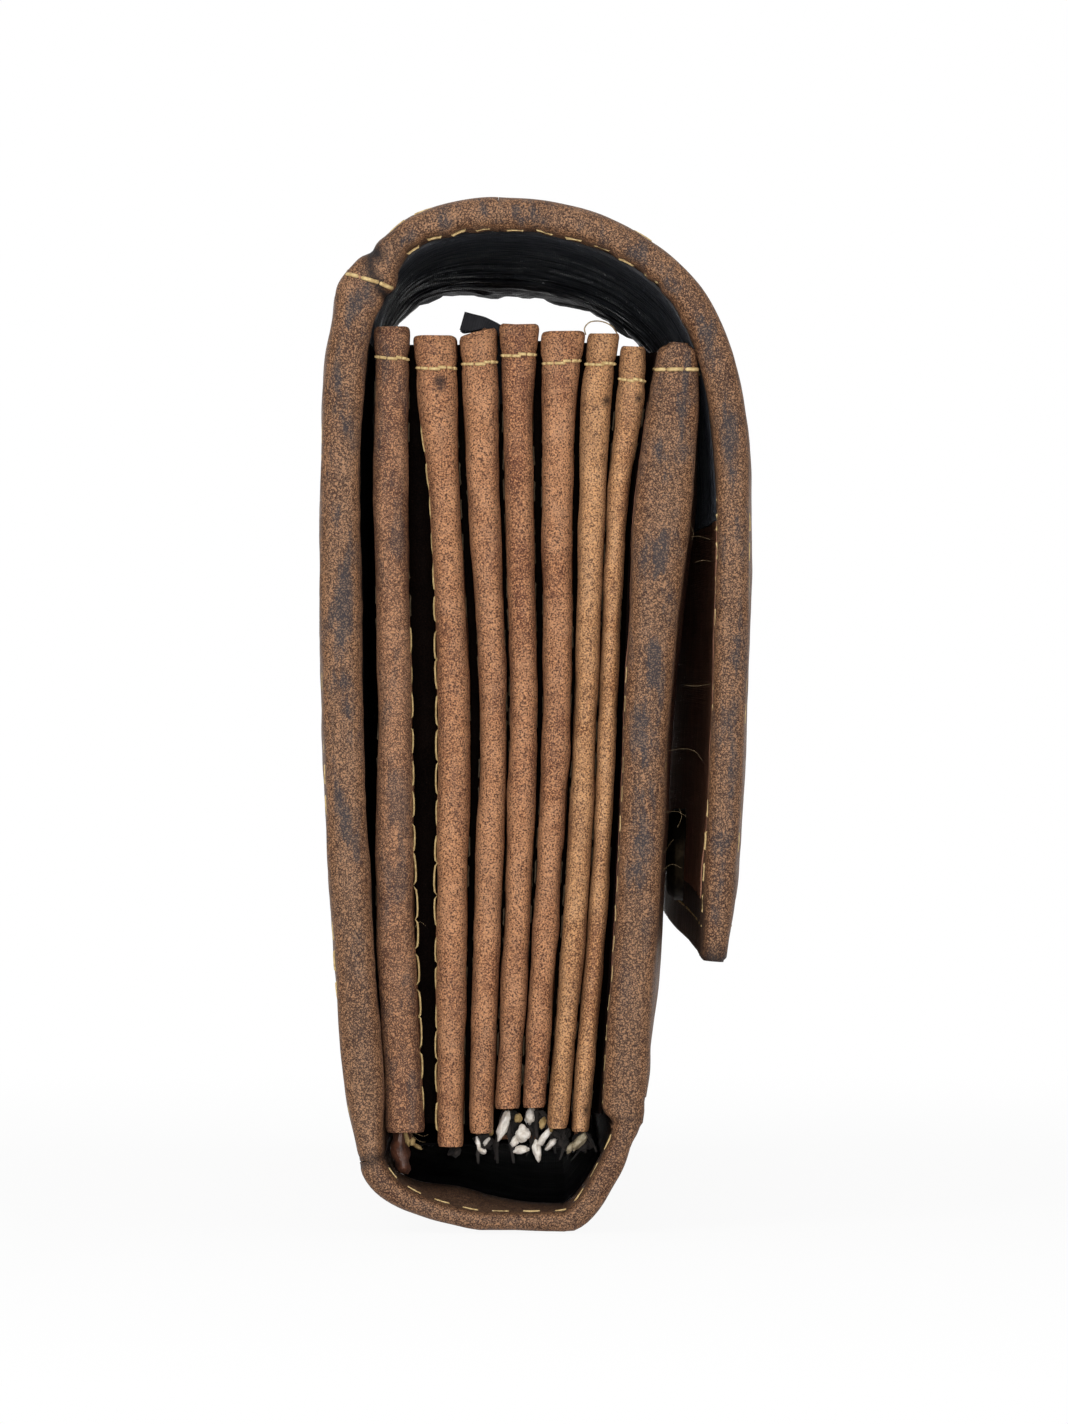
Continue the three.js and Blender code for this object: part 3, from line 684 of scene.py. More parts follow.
class Finish(Enum):
    """The finishes of the wallet."""

    COVER = Leather("cover_hide", (94, 70, 54), (119, 90, 69), (156, 121, 95), 1.0, 4.0, True)
    DARK_LEAF = Leather("dark_leaf_hide", (102, 71, 53), (138, 100, 75), (170, 128, 98), 0.9, 4.2,
                        True)
    LEAF = Leather("leaf_hide", (116, 74, 51), (154, 108, 76), (186, 138, 102), 0.95, 6.2)
    PALE_LEAF = Leather("pale_leaf_hide", (136, 94, 61), (168, 124, 87), (194, 150, 109), 0.9, 6.2)
    # Near-black: partly the webs' dark leather, partly painted shade of the deep gaps between the
    # pleats.
    INNER = Leather("shaded_inner_hide", (11, 7, 6), (18, 11, 9), (25, 16, 12), gloss=0.02)
    DIVIDER = Leather("divider_hide", (92, 62, 44), (116, 80, 56), (138, 97, 68))
    BLACK_CLOTH = Cloth("black_lining", (11, 11, 13), (36, 36, 41), 2.6, 0.1, 0.58, 0.24)
    BROWN_CLOTH = Cloth("brown_lining", (150, 107, 86), (176, 128, 104), 2.6, 0.0, 0.9, 0.02)
    FLOOR_CLOTH = Cloth("floor_lining", (13, 12, 13), (26, 24, 25), 2.6, 0.0, 0.9, 0.02)
    TAPE = Cloth("zip_tape", (17, 17, 20), (44, 44, 50), 2.4)
    COIL = Spotted("zip_coil_black", (20, 20, 23), (40, 40, 45), 2.0, 0.45)
    THREAD = Spotted("waxed_thread", (170, 140, 90), (216, 190, 134), 3.0, 0.6)
    OLD_THREAD = Spotted("old_thread", (146, 120, 76), (188, 162, 110), 3.0, 0.7)
    # Thread of the upright seams deep in the gaps, darkened as painted shade of the gaps.
    DARK_THREAD = Spotted("shaded_thread", (66, 54, 38), (98, 82, 58), 3.0, 0.7)
    GLUE = Spotted("dried_glue", (196, 186, 172), (236, 231, 224), 1.3, 0.55, depth=0.3)
    OLD_GLUE = Spotted("old_glue", (108, 94, 70), (176, 164, 138), 1.0, 0.5, depth=0.3)
    FRAY = Spotted("frayed_lining", (11, 9, 8), (34, 27, 23), 1.2, 0.95, depth=0.2)
    SCRAP = Spotted("leather_scrap", (116, 92, 48), (178, 152, 104), 1.5, 0.85, depth=0.2)
    TAIL = Spotted("burnt_tail", (48, 27, 20), (92, 56, 40), 0.9, 0.5, depth=0.3)
    FIBRE = Spotted("loose_fibre", (118, 98, 70), (168, 146, 110), 2.0, 0.8)
    BOARD = Spotted("grey_board", (128, 120, 104), (152, 144, 128), 0.8, 0.9)
    BRASS = Spotted("worn_brass", (150, 116, 62), (198, 164, 100), 0.35, 0.36, metal=1.0)
    DARK_BRASS = Spotted("dark_brass", (52, 43, 33), (96, 80, 58), 0.5, 0.44, metal=1.0)
    # Socket and stud sit in the dark gap under the flap: their brass is darkened as painted shade.
    DULL_BRASS = Spotted("shaded_brass", (24, 20, 16), (52, 43, 32), 0.5, 0.6, metal=1.0)

    @property
    def material(self) -> bpy.types.Material:
        """The finish's material, made once."""
        return bpy.data.materials.get(self.value.name) or self.value.material()


# Sewing


class Seam:
    """Stitches of one thread that share a piece."""

    SIDES = 6
    STEPS = (0.0, 0.1, 0.32, 0.68, 0.9, 1.0)
    RISE = (-1.0, 0.45, 1.0, 1.0, 0.45, -1.0)

    def __init__(self, radius: float = 0.12, seed: int = 1) -> None:
        """Starts an empty seam.

        Args:
            radius: of the thread.
            seed: of the stitches' unevenness.
        """
        self.radius = radius
        self.draw = random.Random(seed)
        self.bm = bmesh.new()

    def stitch(self, start: Vector, end: Vector, out: Vector, lift: float = 0.1,
               thick: float = 1.0) -> None:
        """One stitch that lies on a surface between two holes.

        Args:
            start: hole where the thread comes up.
            end: hole where it goes down.
            out: direction away from the surface.
            lift: height of the thread's middle above the surface.
            thick: how much thicker than the rest of the seam.
        """
        along = (end - start).normalized()
        side = along.cross(out).normalized()
        up = side.cross(along)
        made = bmesh.ops.create_grid(self.bm, x_segments=len(self.STEPS) - 1,
                                     y_segments=self.SIDES, size=0.5)
        swell = thick * self.draw.uniform(0.9, 1.12)
        for v in made["verts"]:
            k = round((v.co.x + 0.5) * (len(self.STEPS) - 1))
            turn = 2 * math.pi * round((v.co.y + 0.5) * self.SIDES) / self.SIDES
            rise = self.RISE[k] * (lift if self.RISE[k] > 0 else 1.6 * self.radius)
            core = start.lerp(end, self.STEPS[k]) + up * rise
            girth = self.radius * swell * (0.5 if k in (0, len(self.STEPS) - 1) else 1.0)
            v.co = core + side * (girth * math.cos(turn)) + up * (girth * math.sin(turn))

    def row(self, path: Callable[[float], Spot], first: float, last: float,
            pitch: float = 3.1, share: float = 0.74, lift: float = 0.03,
            uneven: float = 0.08) -> None:
        """A row of stitches along a path.

        Args:
            path: gives the point on the surface and the direction away from it.
            first: where the row starts along the path.
            last: where it ends.
            pitch: hole to hole.
            share: how much of the pitch the thread covers.
            lift: height of the thread's middle above the surface.
            uneven: how far a stitch strays along the row.
        """
        count = max(int(round((last - first) / pitch)), 1)
        step = (last - first) / count
        for k in range(count):
            a = first + step * (k + (1 - share) / 2) + self.draw.uniform(-uneven, uneven)
            b = a + step * share + self.draw.uniform(-1.5, 1.5) * (uneven - 0.08)
            start, out_a = path(a)
            end, out_b = path(b)
            self.stitch(start, end, (out_a + out_b).normalized(),
                        lift + self.draw.uniform(-0.02, 0.02))

    def sewn(self, name: str, finish: Finish = Finish.THREAD, slot: str = "pleat_leather",
             body: str = "", nodes: Sequence[str] = ()) -> Piece:
        """The seam as a piece; the arguments are those of finished."""
        close(self.bm)
        return finished(self.bm, name, finish, slot, body, nodes, crease=80)


# Cover


@dataclass(frozen=True)
class Hinge:
    """A fold between two bodies, over which the leather bends."""

    first: str
    second: str
    start: Flat
    end: Flat

    def bind(self, piece: Piece) -> None:
        """Bakes the piece's place into its mesh."""
        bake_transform(piece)


FLAP_AXIS = Vector((-18.858, 96.098))
SHOULDER_AXIS = Vector((15.12, 96.465))
FRONT_AXIS = Vector((10.965, 10.8))


def hinge(first: str, second: str, axis: Vector, along: Vector, before: float,
          after: float) -> Hinge:
    """Sets out a fold about a joint's axis.

    Args:
        first: the body where the fold starts.
        second: the body where it ends.
        axis: the axis in (x, z).
        along: direction from the first body to the second.
        before: how far before the axis the bend starts.
        after: how far after it the bend ends.

    Returns:
        The fold.
    """
    way = along.normalized()
    start, end = axis - way * before, axis + way * after
    return Hinge(first, second, (start.x, start.y), (end.x, end.y))


def level(s: float, y: float) -> float:
    """No departure from the course."""
    return 0.0


@dataclass(frozen=True)
class Crease:
    """A fold line across a panel."""

    place: float  # distance along the course
    outer: float  # depth on the outside
    inner: float  # depth on the inside
    width: float
    shade: float  # how dark the painted shade along it is
    within: float = 1.0  # share of the shade on the inner face
    slant: float = 0.0  # how much further along it lies on the inner face than in the middle

    def share(self, s: float, n: float) -> float:
        """How much of the crease is felt at a distance along the course and a depth."""
        return math.exp(-(((s - self.place - self.slant * n) / self.width) ** 2))


@dataclass
class Panel:
    """Doubled leather with turned ends that follows a course across the wallet."""

    name: str
    course: Course
    half: Curve  # half the thickness at a distance along the course
    bulge: Curve  # how far the outside swells between the ends
    lined: Sequence[Triple] = ()  # stretches let in for a lining, how far the leather is turned
    round_last: float = 0.0  # length of the rounding where the panel ends
    waves: Curve = lambda s: 0.0  # how far stitches draw the turned edge in
    rub: float = 1.0
    creases: Sequence[Crease] = ()
    blunt: float = 0.55  # share of the thickness left at a rounded end
    dark: Curve = lambda s: 0.0  # how dark the inner face is
    lean: Callable[[float, float], float] = level  # how far both faces stand further in
    hump: Callable[[float, float], float] = level  # how far the inner face swells

    CRUMPLES = (Crumple(0.22, 9.0, 1.3), Crumple(0.07, 2.6, 4.1))
    FACE = (90.6, 89.9, 89.5, 89.1, 88.7, 88.3, 87.7, 87.2, 86.4, 84.0, 80.0, 77.8, 77.2, 72.0,
            64.0, 52.0, 38.0, 19.0)
    HEM = HALF - 3.4  # where the outer seam runs
    GROOVE = 0.2  # how deep the outer seam lies
    TURNS = 14

    @property
    def last(self) -> float:
        """Where the panel ends along its course."""
        return self.course.length

    def ring(self) -> list[Flat]:
        """Goes once round the section.

        Returns:
            Share of the half thickness and place along the wallet, point by point.
        """
        face = [-y for y in self.FACE] + [0.0] + list(reversed(self.FACE))
        flat = HALF - EDGE_ROUND
        points = [(1.0, y) for y in face]
        for side in (1, -1):
            for k in range(1, self.TURNS):
                a = math.pi * k / self.TURNS
                n = math.copysign(abs(math.cos(a)) ** 0.85, math.cos(a))
                points.append((side * n, side * (flat + EDGE_ROUND * math.sin(a) ** 0.9)))
            if side == 1:
                points += [(-1.0, y) for y in reversed(face)]
        return points + [points[0]]

    def girth(self, s: float) -> float:
        """Half the thickness, less where the end is rounded.

        Args:
            s: distance along the course.

        Returns:
            Half the thickness there.
        """
        half, away = self.half(s), self.last - s
        if self.round_last and away < self.round_last:
            half *= max(math.sqrt(max(1 - (1 - away / self.round_last) ** 2, 0.0)), self.blunt)
        return half

    def inner(self, s: float, y: float) -> float:
        """Depth of the inner face between the turned edges."""
        return self.girth(s) + self.lean(s, y) + self.hump(s, y)

    def depth(self, s: float, n: float, y: float) -> float:
        """Depth of a point of the section under the course.

        Args:
            s: distance along the course.
            n: share of the half thickness, 1 on the inner face and -1 on the outer one.
            y: place along the wallet.

        Returns:
            The depth towards the inside.
        """
        depth = n * self.girth(s)
        for crease in self.creases:
            depth -= n * crease.share(s, n) * (crease.inner if n > 0 else crease.outer)
        if n < 0:
            ends = min((self.last - s) / 6, 1) if self.round_last else 1
            depth -= self.bulge(s) * ease(abs(y), HALF + 1, HALF - 30) * -n * max(ends, 0)
            depth -= n * self.GROOVE * math.exp(-(((abs(y) - self.HEM) / 0.4) ** 2))
        elif n == 1.0:
            for a, b, turned in self.lined:
                if a < s < b:
                    inset = ease(abs(y), HALF - turned + 0.25, HALF - turned - 0.25)
                    depth -= RECESS * inset * ease(min(s - a, b - s), 0, 0.5)
        if n > 0:
            tuck = ease(abs(y), HALF - TURNED_EDGE - 1, HALF - TURNED_EDGE + 1)
            pull = 0.5 + 0.9 * noise.noise(Vector((s / 1.3, y / 40, 5.4)))
            depth -= self.waves(s) * pull * tuck * n * (1.0 + 1.2 * ease(y, 0, HALF))
        return depth + self.lean(s, y) + self.hump(s, y) * max(n, 0)

    def build(self) -> Piece:
        """Makes the leather with its rubbed, oiled and stained places and the painted shade of its
        creases.

        Returns:
            The piece.
        """
        ring = self.ring()
        fine = (0.12, 0.3, 0.6, 1.0, 1.5)
        near = (-1.2, -0.8, -0.5, -0.25, 0.0, 0.25, 0.5, 0.8, 1.2)
        folds = [crease.place + d for crease in self.creases for d in near]
        stops = spaced(0.0, self.last, 0.55, fine)
        stops = sorted(set(stops) | {s for s in folds if 0.0 < s < self.last})
        bm = gridded(stops, ring,
                     lambda s, spot: self.course.on(s, self.depth(s, *spot), spot[1]))
        rub = bm.verts.layers.float.new("rub")
        stain_and_shade = bm.verts.layers.float.new("stain_and_shade")
        oiled = bm.verts.layers.float.new("oiled")
        row, column = bm.verts.layers.int["row"], bm.verts.layers.int["column"]
        for v in bm.verts:
            s, (n, y) = stops[v[row]], ring[v[column]]
            ends = ease(abs(y), HALF - EDGE_ROUND, HALF - 0.3)
            high = 0.12 + 0.88 * ease(v.co.z, 15, 48)
            v[rub] = self.rub * high * (0.22 + 0.78 * ends * math.exp(-((n / 0.7) ** 2)))
            v[oiled] = 0.5 * ends * ease(abs(n), 0.45, 0.85)
            v[stain_and_shade] = self.dark(s) * ease(n, 0.5, 0.95)
            # Creases are painted darker as shade along the folds, darkest near the ends of the
            # wallet.
            for crease in self.creases:
                shade = crease.shade * (0.45 + 0.55 * ease(abs(y), HALF - 7, HALF - 1))
                shade *= 1 - (1 - crease.within) * ease(n, -0.2, 0.4)
                v[stain_and_shade] = max(v[stain_and_shade], shade * crease.share(s, n))
        bmesh.ops.remove_doubles(bm, verts=bm.verts, dist=WELD)
        for crumple in self.CRUMPLES:
            crumple.press(bm)
        for v in bm.verts:
            v.co.z = max(v.co.z, 0.0)
        close(bm)
        return finished(bm, self.name, Finish.COVER, "cover_leather")

    def face(self, s: float, y: float, inside: bool) -> Spot:
        """Finds a place on a face.

        Args:
            s: distance along the course.
            y: place along the wallet.
            inside: True for the inner face.

        Returns:
            The point and the direction away from the face.
        """
        n = 1.0 if inside else -1.0
        out = self.course.inward(s) * n
        point = self.course.on(s, self.depth(s, n, y), y)
        return point + out * sum(c.rise(point) for c in self.CRUMPLES), out


@dataclass
class Lining:
    """Cloth glued to the inside of a panel, within its turned edges."""

    name: str
    panel: Panel
    first: float
    last: float
    finish: Finish
    slot: str
    node: str
    rests_on: str
    reach: float = HALF - TURNED_EDGE - 0.1
    pucker: float = 0.0  # height of the puckers that run across the wallet
    origin: float = 0.0  # where along the course the weave starts
    thick: float = 0.3

    def build(self) -> Piece:
        """Makes the sheet of cloth.

        Returns:
            The piece.
        """
        step, close_by = (0.8, 0.6) if self.pucker else (1.2, 3.5)
        stops = spaced(self.first, self.last, step)
        places = spaced(-self.reach, self.reach, close_by, (0.4, 1.2))

        def place(s: float, y: float) -> Vector:
            """Point on the leather's lumps, raised by the puckers.

            Args:
                s: distance along the course.
                y: place along the wallet.

            Returns:
                The point.
            """
            along = s - self.origin
            pucker = 0.07 * noise.noise(Vector((along / 5, y / 9, 3.0)))
            height = self.pucker * (0.8 + 1.6 * ease(y, -40, HALF))
            pucker += height * max(noise.noise(Vector((along / 22, y / 1.9, 8.0))), -0.1)
            ruffle = max(noise.noise(Vector((along / 2.8, y / 3.4, 4.0))), -0.1)
            pucker += 2.2 * self.pucker * ease(y, 45, self.reach) * ruffle
            depth = self.panel.inner(s, y) - 0.13
            under = self.panel.course.on(s, depth, y)
            lumps = sum(crumple.rise(under) for crumple in Panel.CRUMPLES)
            return self.panel.course.on(s, depth + pucker + self.panel.course.inside * lumps, y)

        bm = gridded(stops, places, place)
        weave_map(bm, [s - self.origin for s in stops], places)
        thicken(bm, self.thick)
        return finished(bm, self.name, self.finish, self.slot, nodes=(self.node,))

    def declare(self, piece: Piece) -> None:
        """Does nothing with the piece."""


class Cover:
    """Back, flap, base and front with their linings and seams."""

    BASE_HALF = 1.05
    FLAP_HALF = 1.7
    BASE_HEM = 10.0  # how much further the leather is turned in on the base
    PUCKER = 0.38  # height of the puckers in the lining of the arch

    def __init__(self, front_edges: tuple[Profile, Profile]) -> None:
        """Draws the courses.

        Args:
            front_edges: inner and outer face of the front over its height.
        """
        self.front_edges = front_edges
        foot, head, knee = at(-16.4, 7.2), at(-16.9, 95.3), at(-19.4, 78.0)
        top, shoulder = at(-3.67, 102.0), at(13.87, 95.4)
        back = bend(foot, at(-20.0, 42.44), knee) + bend(knee, at(-19.2, 91.0), head)
        arch = bend(head, at(-13.35, 102.0), top)
        self.back_course = Course(back + arch, -1)
        self.head = self.back_course.nearest(head)
        reach = bend(top, at(7.27, 102.0), shoulder)
        hang = (bend(shoulder, at(19.87, 89.4), at(19.87, 73.3))
                + bend(at(19.87, 73.3), at(19.87, 50.2), at(17.87, 27.1)))
        self.flap_course = Course(reach + hang, -1)
        self.shoulder = self.flap_course.nearest(shoulder)
        under = bend(foot, at(-15.4, 2.65), at(-5.41, 1.05))
        under += bend(at(-5.41, 1.05), at(-1.2, 1.05), at(2.99, 1.05))
        under += bend(at(2.99, 1.05), at(5.39, 1.55), at(9.39, 10.8))
        inner, outer = front_edges
        heights = [12.6 + 0.5 * k for k in range(154)]
        rise = [Vector(((inner(z) + outer(z)) / 2, z)) for z in heights]
        self.front_course = Course(under + rise, 1)
        self.fold = self.front_course.nearest(at(9.39, 10.8))
        self.flap_hinge = hinge("flap_arch", "cover", FLAP_AXIS, Vector((-0.47, -0.88)), 4.0, 4.0)
        self.shoulder_hinge = hinge("flap_arch", "flap_front", SHOULDER_AXIS,
                                    Vector((1.0, -1.0)), 7.0, 1.0)
        self.front_hinge = hinge("cover", "front", FRONT_AXIS, Vector((0.05, 1.0)), 2.2, 1.8)
        self.back, self.flap, self.front = self.panels()

    def back_half(self, s: float) -> float:
        """Half the thickness of the back and of the start of the flap.

        Args:
            s: distance along the course.

        Returns:
            Half the thickness there.
        """
        z = self.back_course.place(s)[0].y
        if s <= self.head:
            return 1.3 + 0.75 * ease(z, 7.2, 14.4) - 0.2 * ease(z, 88, 95)
        return 1.85 - 0.15 * ease(s, self.head, self.head + 6)

    def flap_half(self, s: float) -> float:
        """Half the thickness of the rest of the flap."""
        return self.FLAP_HALF - 0.35 * ease(s, self.flap_course.length - 9, self.flap_course.length)

    def front_half(self, s: float) -> float:
        """Half the thickness of the base and the front.

        Args:
            s: distance along the course.

        Returns:
            Half the thickness there.
        """
        z = self.front_course.place(s)[0].y
        inner, outer = self.front_edges
        tall = (outer(max(z, 11.0)) - inner(max(z, 11.0))) / 2
        share = ease(s, self.fold - 2.6, self.fold + 1.6)
        base = self.BASE_HALF + 0.25 * ease(s, 7, 0)
        return base * (1 - share) + tall * share

    def panels(self) -> tuple[Panel, Panel, Panel]:
        """Sets out the pieces of cover leather.

        Returns:
            The back with the start of the flap, the rest of the flap, and the base with the front.
        """
        head, fold, shoulder = self.head, self.fold, self.shoulder
        top, tip = self.front_course.length, self.flap_course.length
        arch_top = self.back_course.length
        corner = self.front_course.nearest(at(5.2, 2.8))
        back = Panel(
            "back_leather", self.back_course, self.back_half,
            lambda s: 0.6 * ease(s, 0, 40) + 0.1 * ease(s, head - 22, head + 2),
            lined=((8.0, arch_top + 5, TURNED_EDGE),),
            waves=lambda s: 0.08 + 0.42 * ease(s, head - 3, head + 4), rub=1.3,
            creases=(Crease(head + 1.0, 0.4, 0.35, 0.75, 1.0, 1.0, -1.6),
                     Crease(head + 2.7, 0.1, 0.0, 1.0, 1.0, 0.0),
                     Crease(head + 4.6, 0.3, 0.1, 1.6, 0.25, 0.2),
                     Crease(head - 1.4, -0.55, 0.0, 1.7, 0.0),
                     Crease(0.2, 0.12, 0.1, 0.4, 0.7)),
            lean=lambda s, y: (-2.1 * ease(y, -75, HALF) * ease(s, head - 26, head - 6)
                               * ease(s, arch_top, head + 3)),
            hump=lambda s, y: (1.2 * ease(-y, 85.5, 89.5)
                               * math.exp(-(((s - head - 0.5) / 3.0) ** 2))))
        flap = Panel(
            "flap_leather", self.flap_course, self.flap_half,
            lambda s: 0.3 + 0.4 * ease(s, shoulder, shoulder + 25),
            lined=((-5.0, tip - 6.0, TURNED_EDGE),), round_last=0.5, blunt=0.8,
            waves=lambda s: 0.5 - 0.42 * ease(s, shoulder - 2, shoulder + 10), rub=1.3,
            creases=(Crease(tip, 0.0, 0.0, 1.3, 0.92),),
            dark=lambda s: 0.7 * ease(s, tip - 10, tip - 5),
            lean=lambda s, y: 1.5 * ease(y, -70, HALF) * ease(s, shoulder + 3, shoulder + 28))
        front = Panel(
            "front_leather", self.front_course, self.front_half,
            lambda s: 0.85 * ease(s, fold + 1, fold + 14) - 0.4 * ease(s, top - 16, top - 4),
            lined=((2.5, fold - 2.4, TURNED_EDGE + self.BASE_HEM),
                   (fold + 8, top - 6, TURNED_EDGE)),
            round_last=0.9, waves=lambda s: 0.1, rub=1.4,
            dark=lambda s: 0.45 * ease(s, fold, fold - 3),
            creases=(Crease(0.2, 0.12, 0.1, 0.4, 0.7),
                     Crease(corner, -0.4, 0.0, 3.4, 0.0),
                     Crease(fold - 4.0, -0.35, 0.0, 2.4, 0.0),
                     Crease(fold, 0.3, 0.0, 1.8, 0.0),
                     Crease(fold + 5.0, -0.25, 0.0, 3.0, 0.0),
                     Crease(fold + 0.5, 0.0, 0.3, 0.6, 0.3)),
            hump=lambda s, y: (1.2 * math.exp(-(((s - 11) / 5) ** 2))
                               * ease(abs(y), HALF - 1, HALF - 9)))
        return back, flap, front

    def front_face(self, z: float) -> float:
        """Where the middle of the front's outer face is at a height."""
        s = self.front_course.nearest(Vector((self.front_edges[1](z), z)))
        return self.front.face(s, 0.0, False)[0].x

    def build(self) -> None:
        """Makes the leather, the linings and the seams."""
        rows = ((self.back, self.flap_hinge, ("back_panel",)),
                (self.flap, self.shoulder_hinge, ("flap_arch", "flap_front")),
                (self.front, self.front_hinge, ("base_panel", "front_panel")))
        for panel, bound, nodes in rows:
            piece = panel.build()
            bound.bind(piece)
            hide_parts(*nodes)
        self.line()
        self.sew()

    def line(self) -> None:
        """Makes the linings."""
        back, flap, front = self.back, self.flap, self.front
        head, fold = self.head, self.fold
        brown = self.flap_course.nearest(at(19.87, 71.5))
        black = (Finish.BLACK_CLOTH, "black_cloth")
        dull = (Finish.FLOOR_CLOTH, "black_cloth")
        tan = (Finish.BROWN_CLOTH, "brown_cloth")
        rows = (
            (Lining("back_cloth", back, 8.1, head - 6.1, *dull, "back_lining", "back_leather"),
             "cover"),
            (Lining("base_cloth", front, 2.6, fold - 5.0, *dull, "base_lining", "front_leather",
                    Lining.reach - self.BASE_HEM), "cover"),
            (Lining("front_cloth", front, fold + 8.1, front.last - 6.1, *tan, "front_lining",
                    "front_leather"), "front"),
            (Lining("arch_cloth", flap, 0.0, brown, *black, "flap_arch_lining", "flap_leather",
                    pucker=self.PUCKER), self.shoulder_hinge),
            (Lining("flap_cloth", flap, brown + 0.1, flap.last - 6.1, *tan, "flap_front_lining",
                    "flap_leather"), "flap_front"),
            (Lining("arch_cloth_start", back, head - 6.0, back.last, *black, "flap_arch_lining",
                    "back_leather", pucker=self.PUCKER, origin=back.last), self.flap_hinge),
        )
        for sheet, carrier in rows:
            piece = sheet.build()
            if isinstance(carrier, Hinge):
                carrier.bind(piece)
            else:
                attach(piece, carrier)
            sheet.declare(piece)

    def sew(self) -> None:
        """Sews the turned edges."""
        back, flap, front = self.back, self.flap, self.front
        head, fold = self.head, self.fold
        near, hem = HALF - 2.0, Panel.HEM
        arch_end = self.shoulder + 6.0
        spans = (("back_thread", back, self.flap_hinge,
                  ((3.0, head - 1.5, None), (head + 4.5, back.last - 0.2, -0.1))),
                 ("flap_thread", flap, self.shoulder_hinge,
                  ((0.2, arch_end, -0.1), (arch_end + 0.4, arch_end + 24, -0.24),
                   (arch_end + 24.4, flap.last - 4.0, -0.09))),
                 ("front_thread", front, self.front_hinge,
                  ((1.0, fold - 1.0, -0.03), (fold + 1.5, front.last - 32, -0.07),
                   (front.last - 31.6, front.last - 3.4, -0.22))))
        for index, (name, panel, bound, stretches) in enumerate(spans):
            seam = Seam(seed=20 + index)
            for side in (-1, 1):
                for first, last, lift in stretches:
                    seam.row(lambda s, y=side * hem: panel.face(s, y, False), first, last,
                             lift=0.04)
                    if lift is not None:
                        seam.row(lambda s, y=side * near: panel.face(s, y, True), first, last,
                                 share=0.62, lift=lift)
            self.cross_rows(seam, panel, name)
            bound.bind(seam.sewn(name, slot="cover_leather"))

    def cross_rows(self, seam: Seam, panel: Panel, name: str) -> None:
        """Sews along the wallet: the seam under the flap, the flap's tip, the front's top.

        Args:
            seam: the seam that the rows belong to.
            panel: the leather that they hold.
            name: the seam's name.
        """
        reach = HALF - 3.0
        if name == "back_thread":
            s = self.head + 0.2
            seam.row(lambda y: panel.face(s, y, False), -reach, reach)
            self.round_end(seam, panel, s, 0.55)
            return
        tip = name == "flap_thread"
        s = panel.last - (3.4 if tip else 2.7)
        for inside in (True, False):
            seam.row(lambda y, inside=inside: panel.face(s, y, inside), -reach, reach,
                     lift=-0.1 if tip and inside else 0.03)
        if not tip:
            self.round_end(seam, panel, s, -0.2)

    def round_end(self, seam: Seam, panel: Panel, s: float, slope: float) -> None:
        """Sews round the near and far edge of a panel at one height.

        Args:
            seam: the seam that the stitches belong to.
            panel: the leather that they hold.
            s: distance along the panel's course.
            slope: how much further along they are on the inner face than in the middle.
        """
        for side in (-1, 1):
            def edge(t: float) -> Spot:
                """Finds a place round the edge.

                Args:
                    t: share of the way round.

                Returns:
                    The point and the direction away from it.
                """
                a = math.pi * t
                n = math.cos(a)
                y = side * (HALF - EDGE_ROUND + EDGE_ROUND * math.sin(a))
                place = s + slope * n
                point = panel.course.on(place, panel.depth(place, n * 0.999, y), y)
                out = panel.course.inward(place) * n + Vector((0, side * math.sin(a) * 1.2, 0))
                return point, out.normalized()

            for a, b in ((0.1, 0.34), (0.33, 0.6), (0.62, 0.9)):
                (start, one), (end, two) = edge(a), edge(b)
                seam.stitch(start, end, (one + two).normalized(), 0.36, 1.7)


# Accordion

ROWS = (13.2, 33.2, 53.2, 73.2, 83.2, 88.7)  # heights at which the faces are given


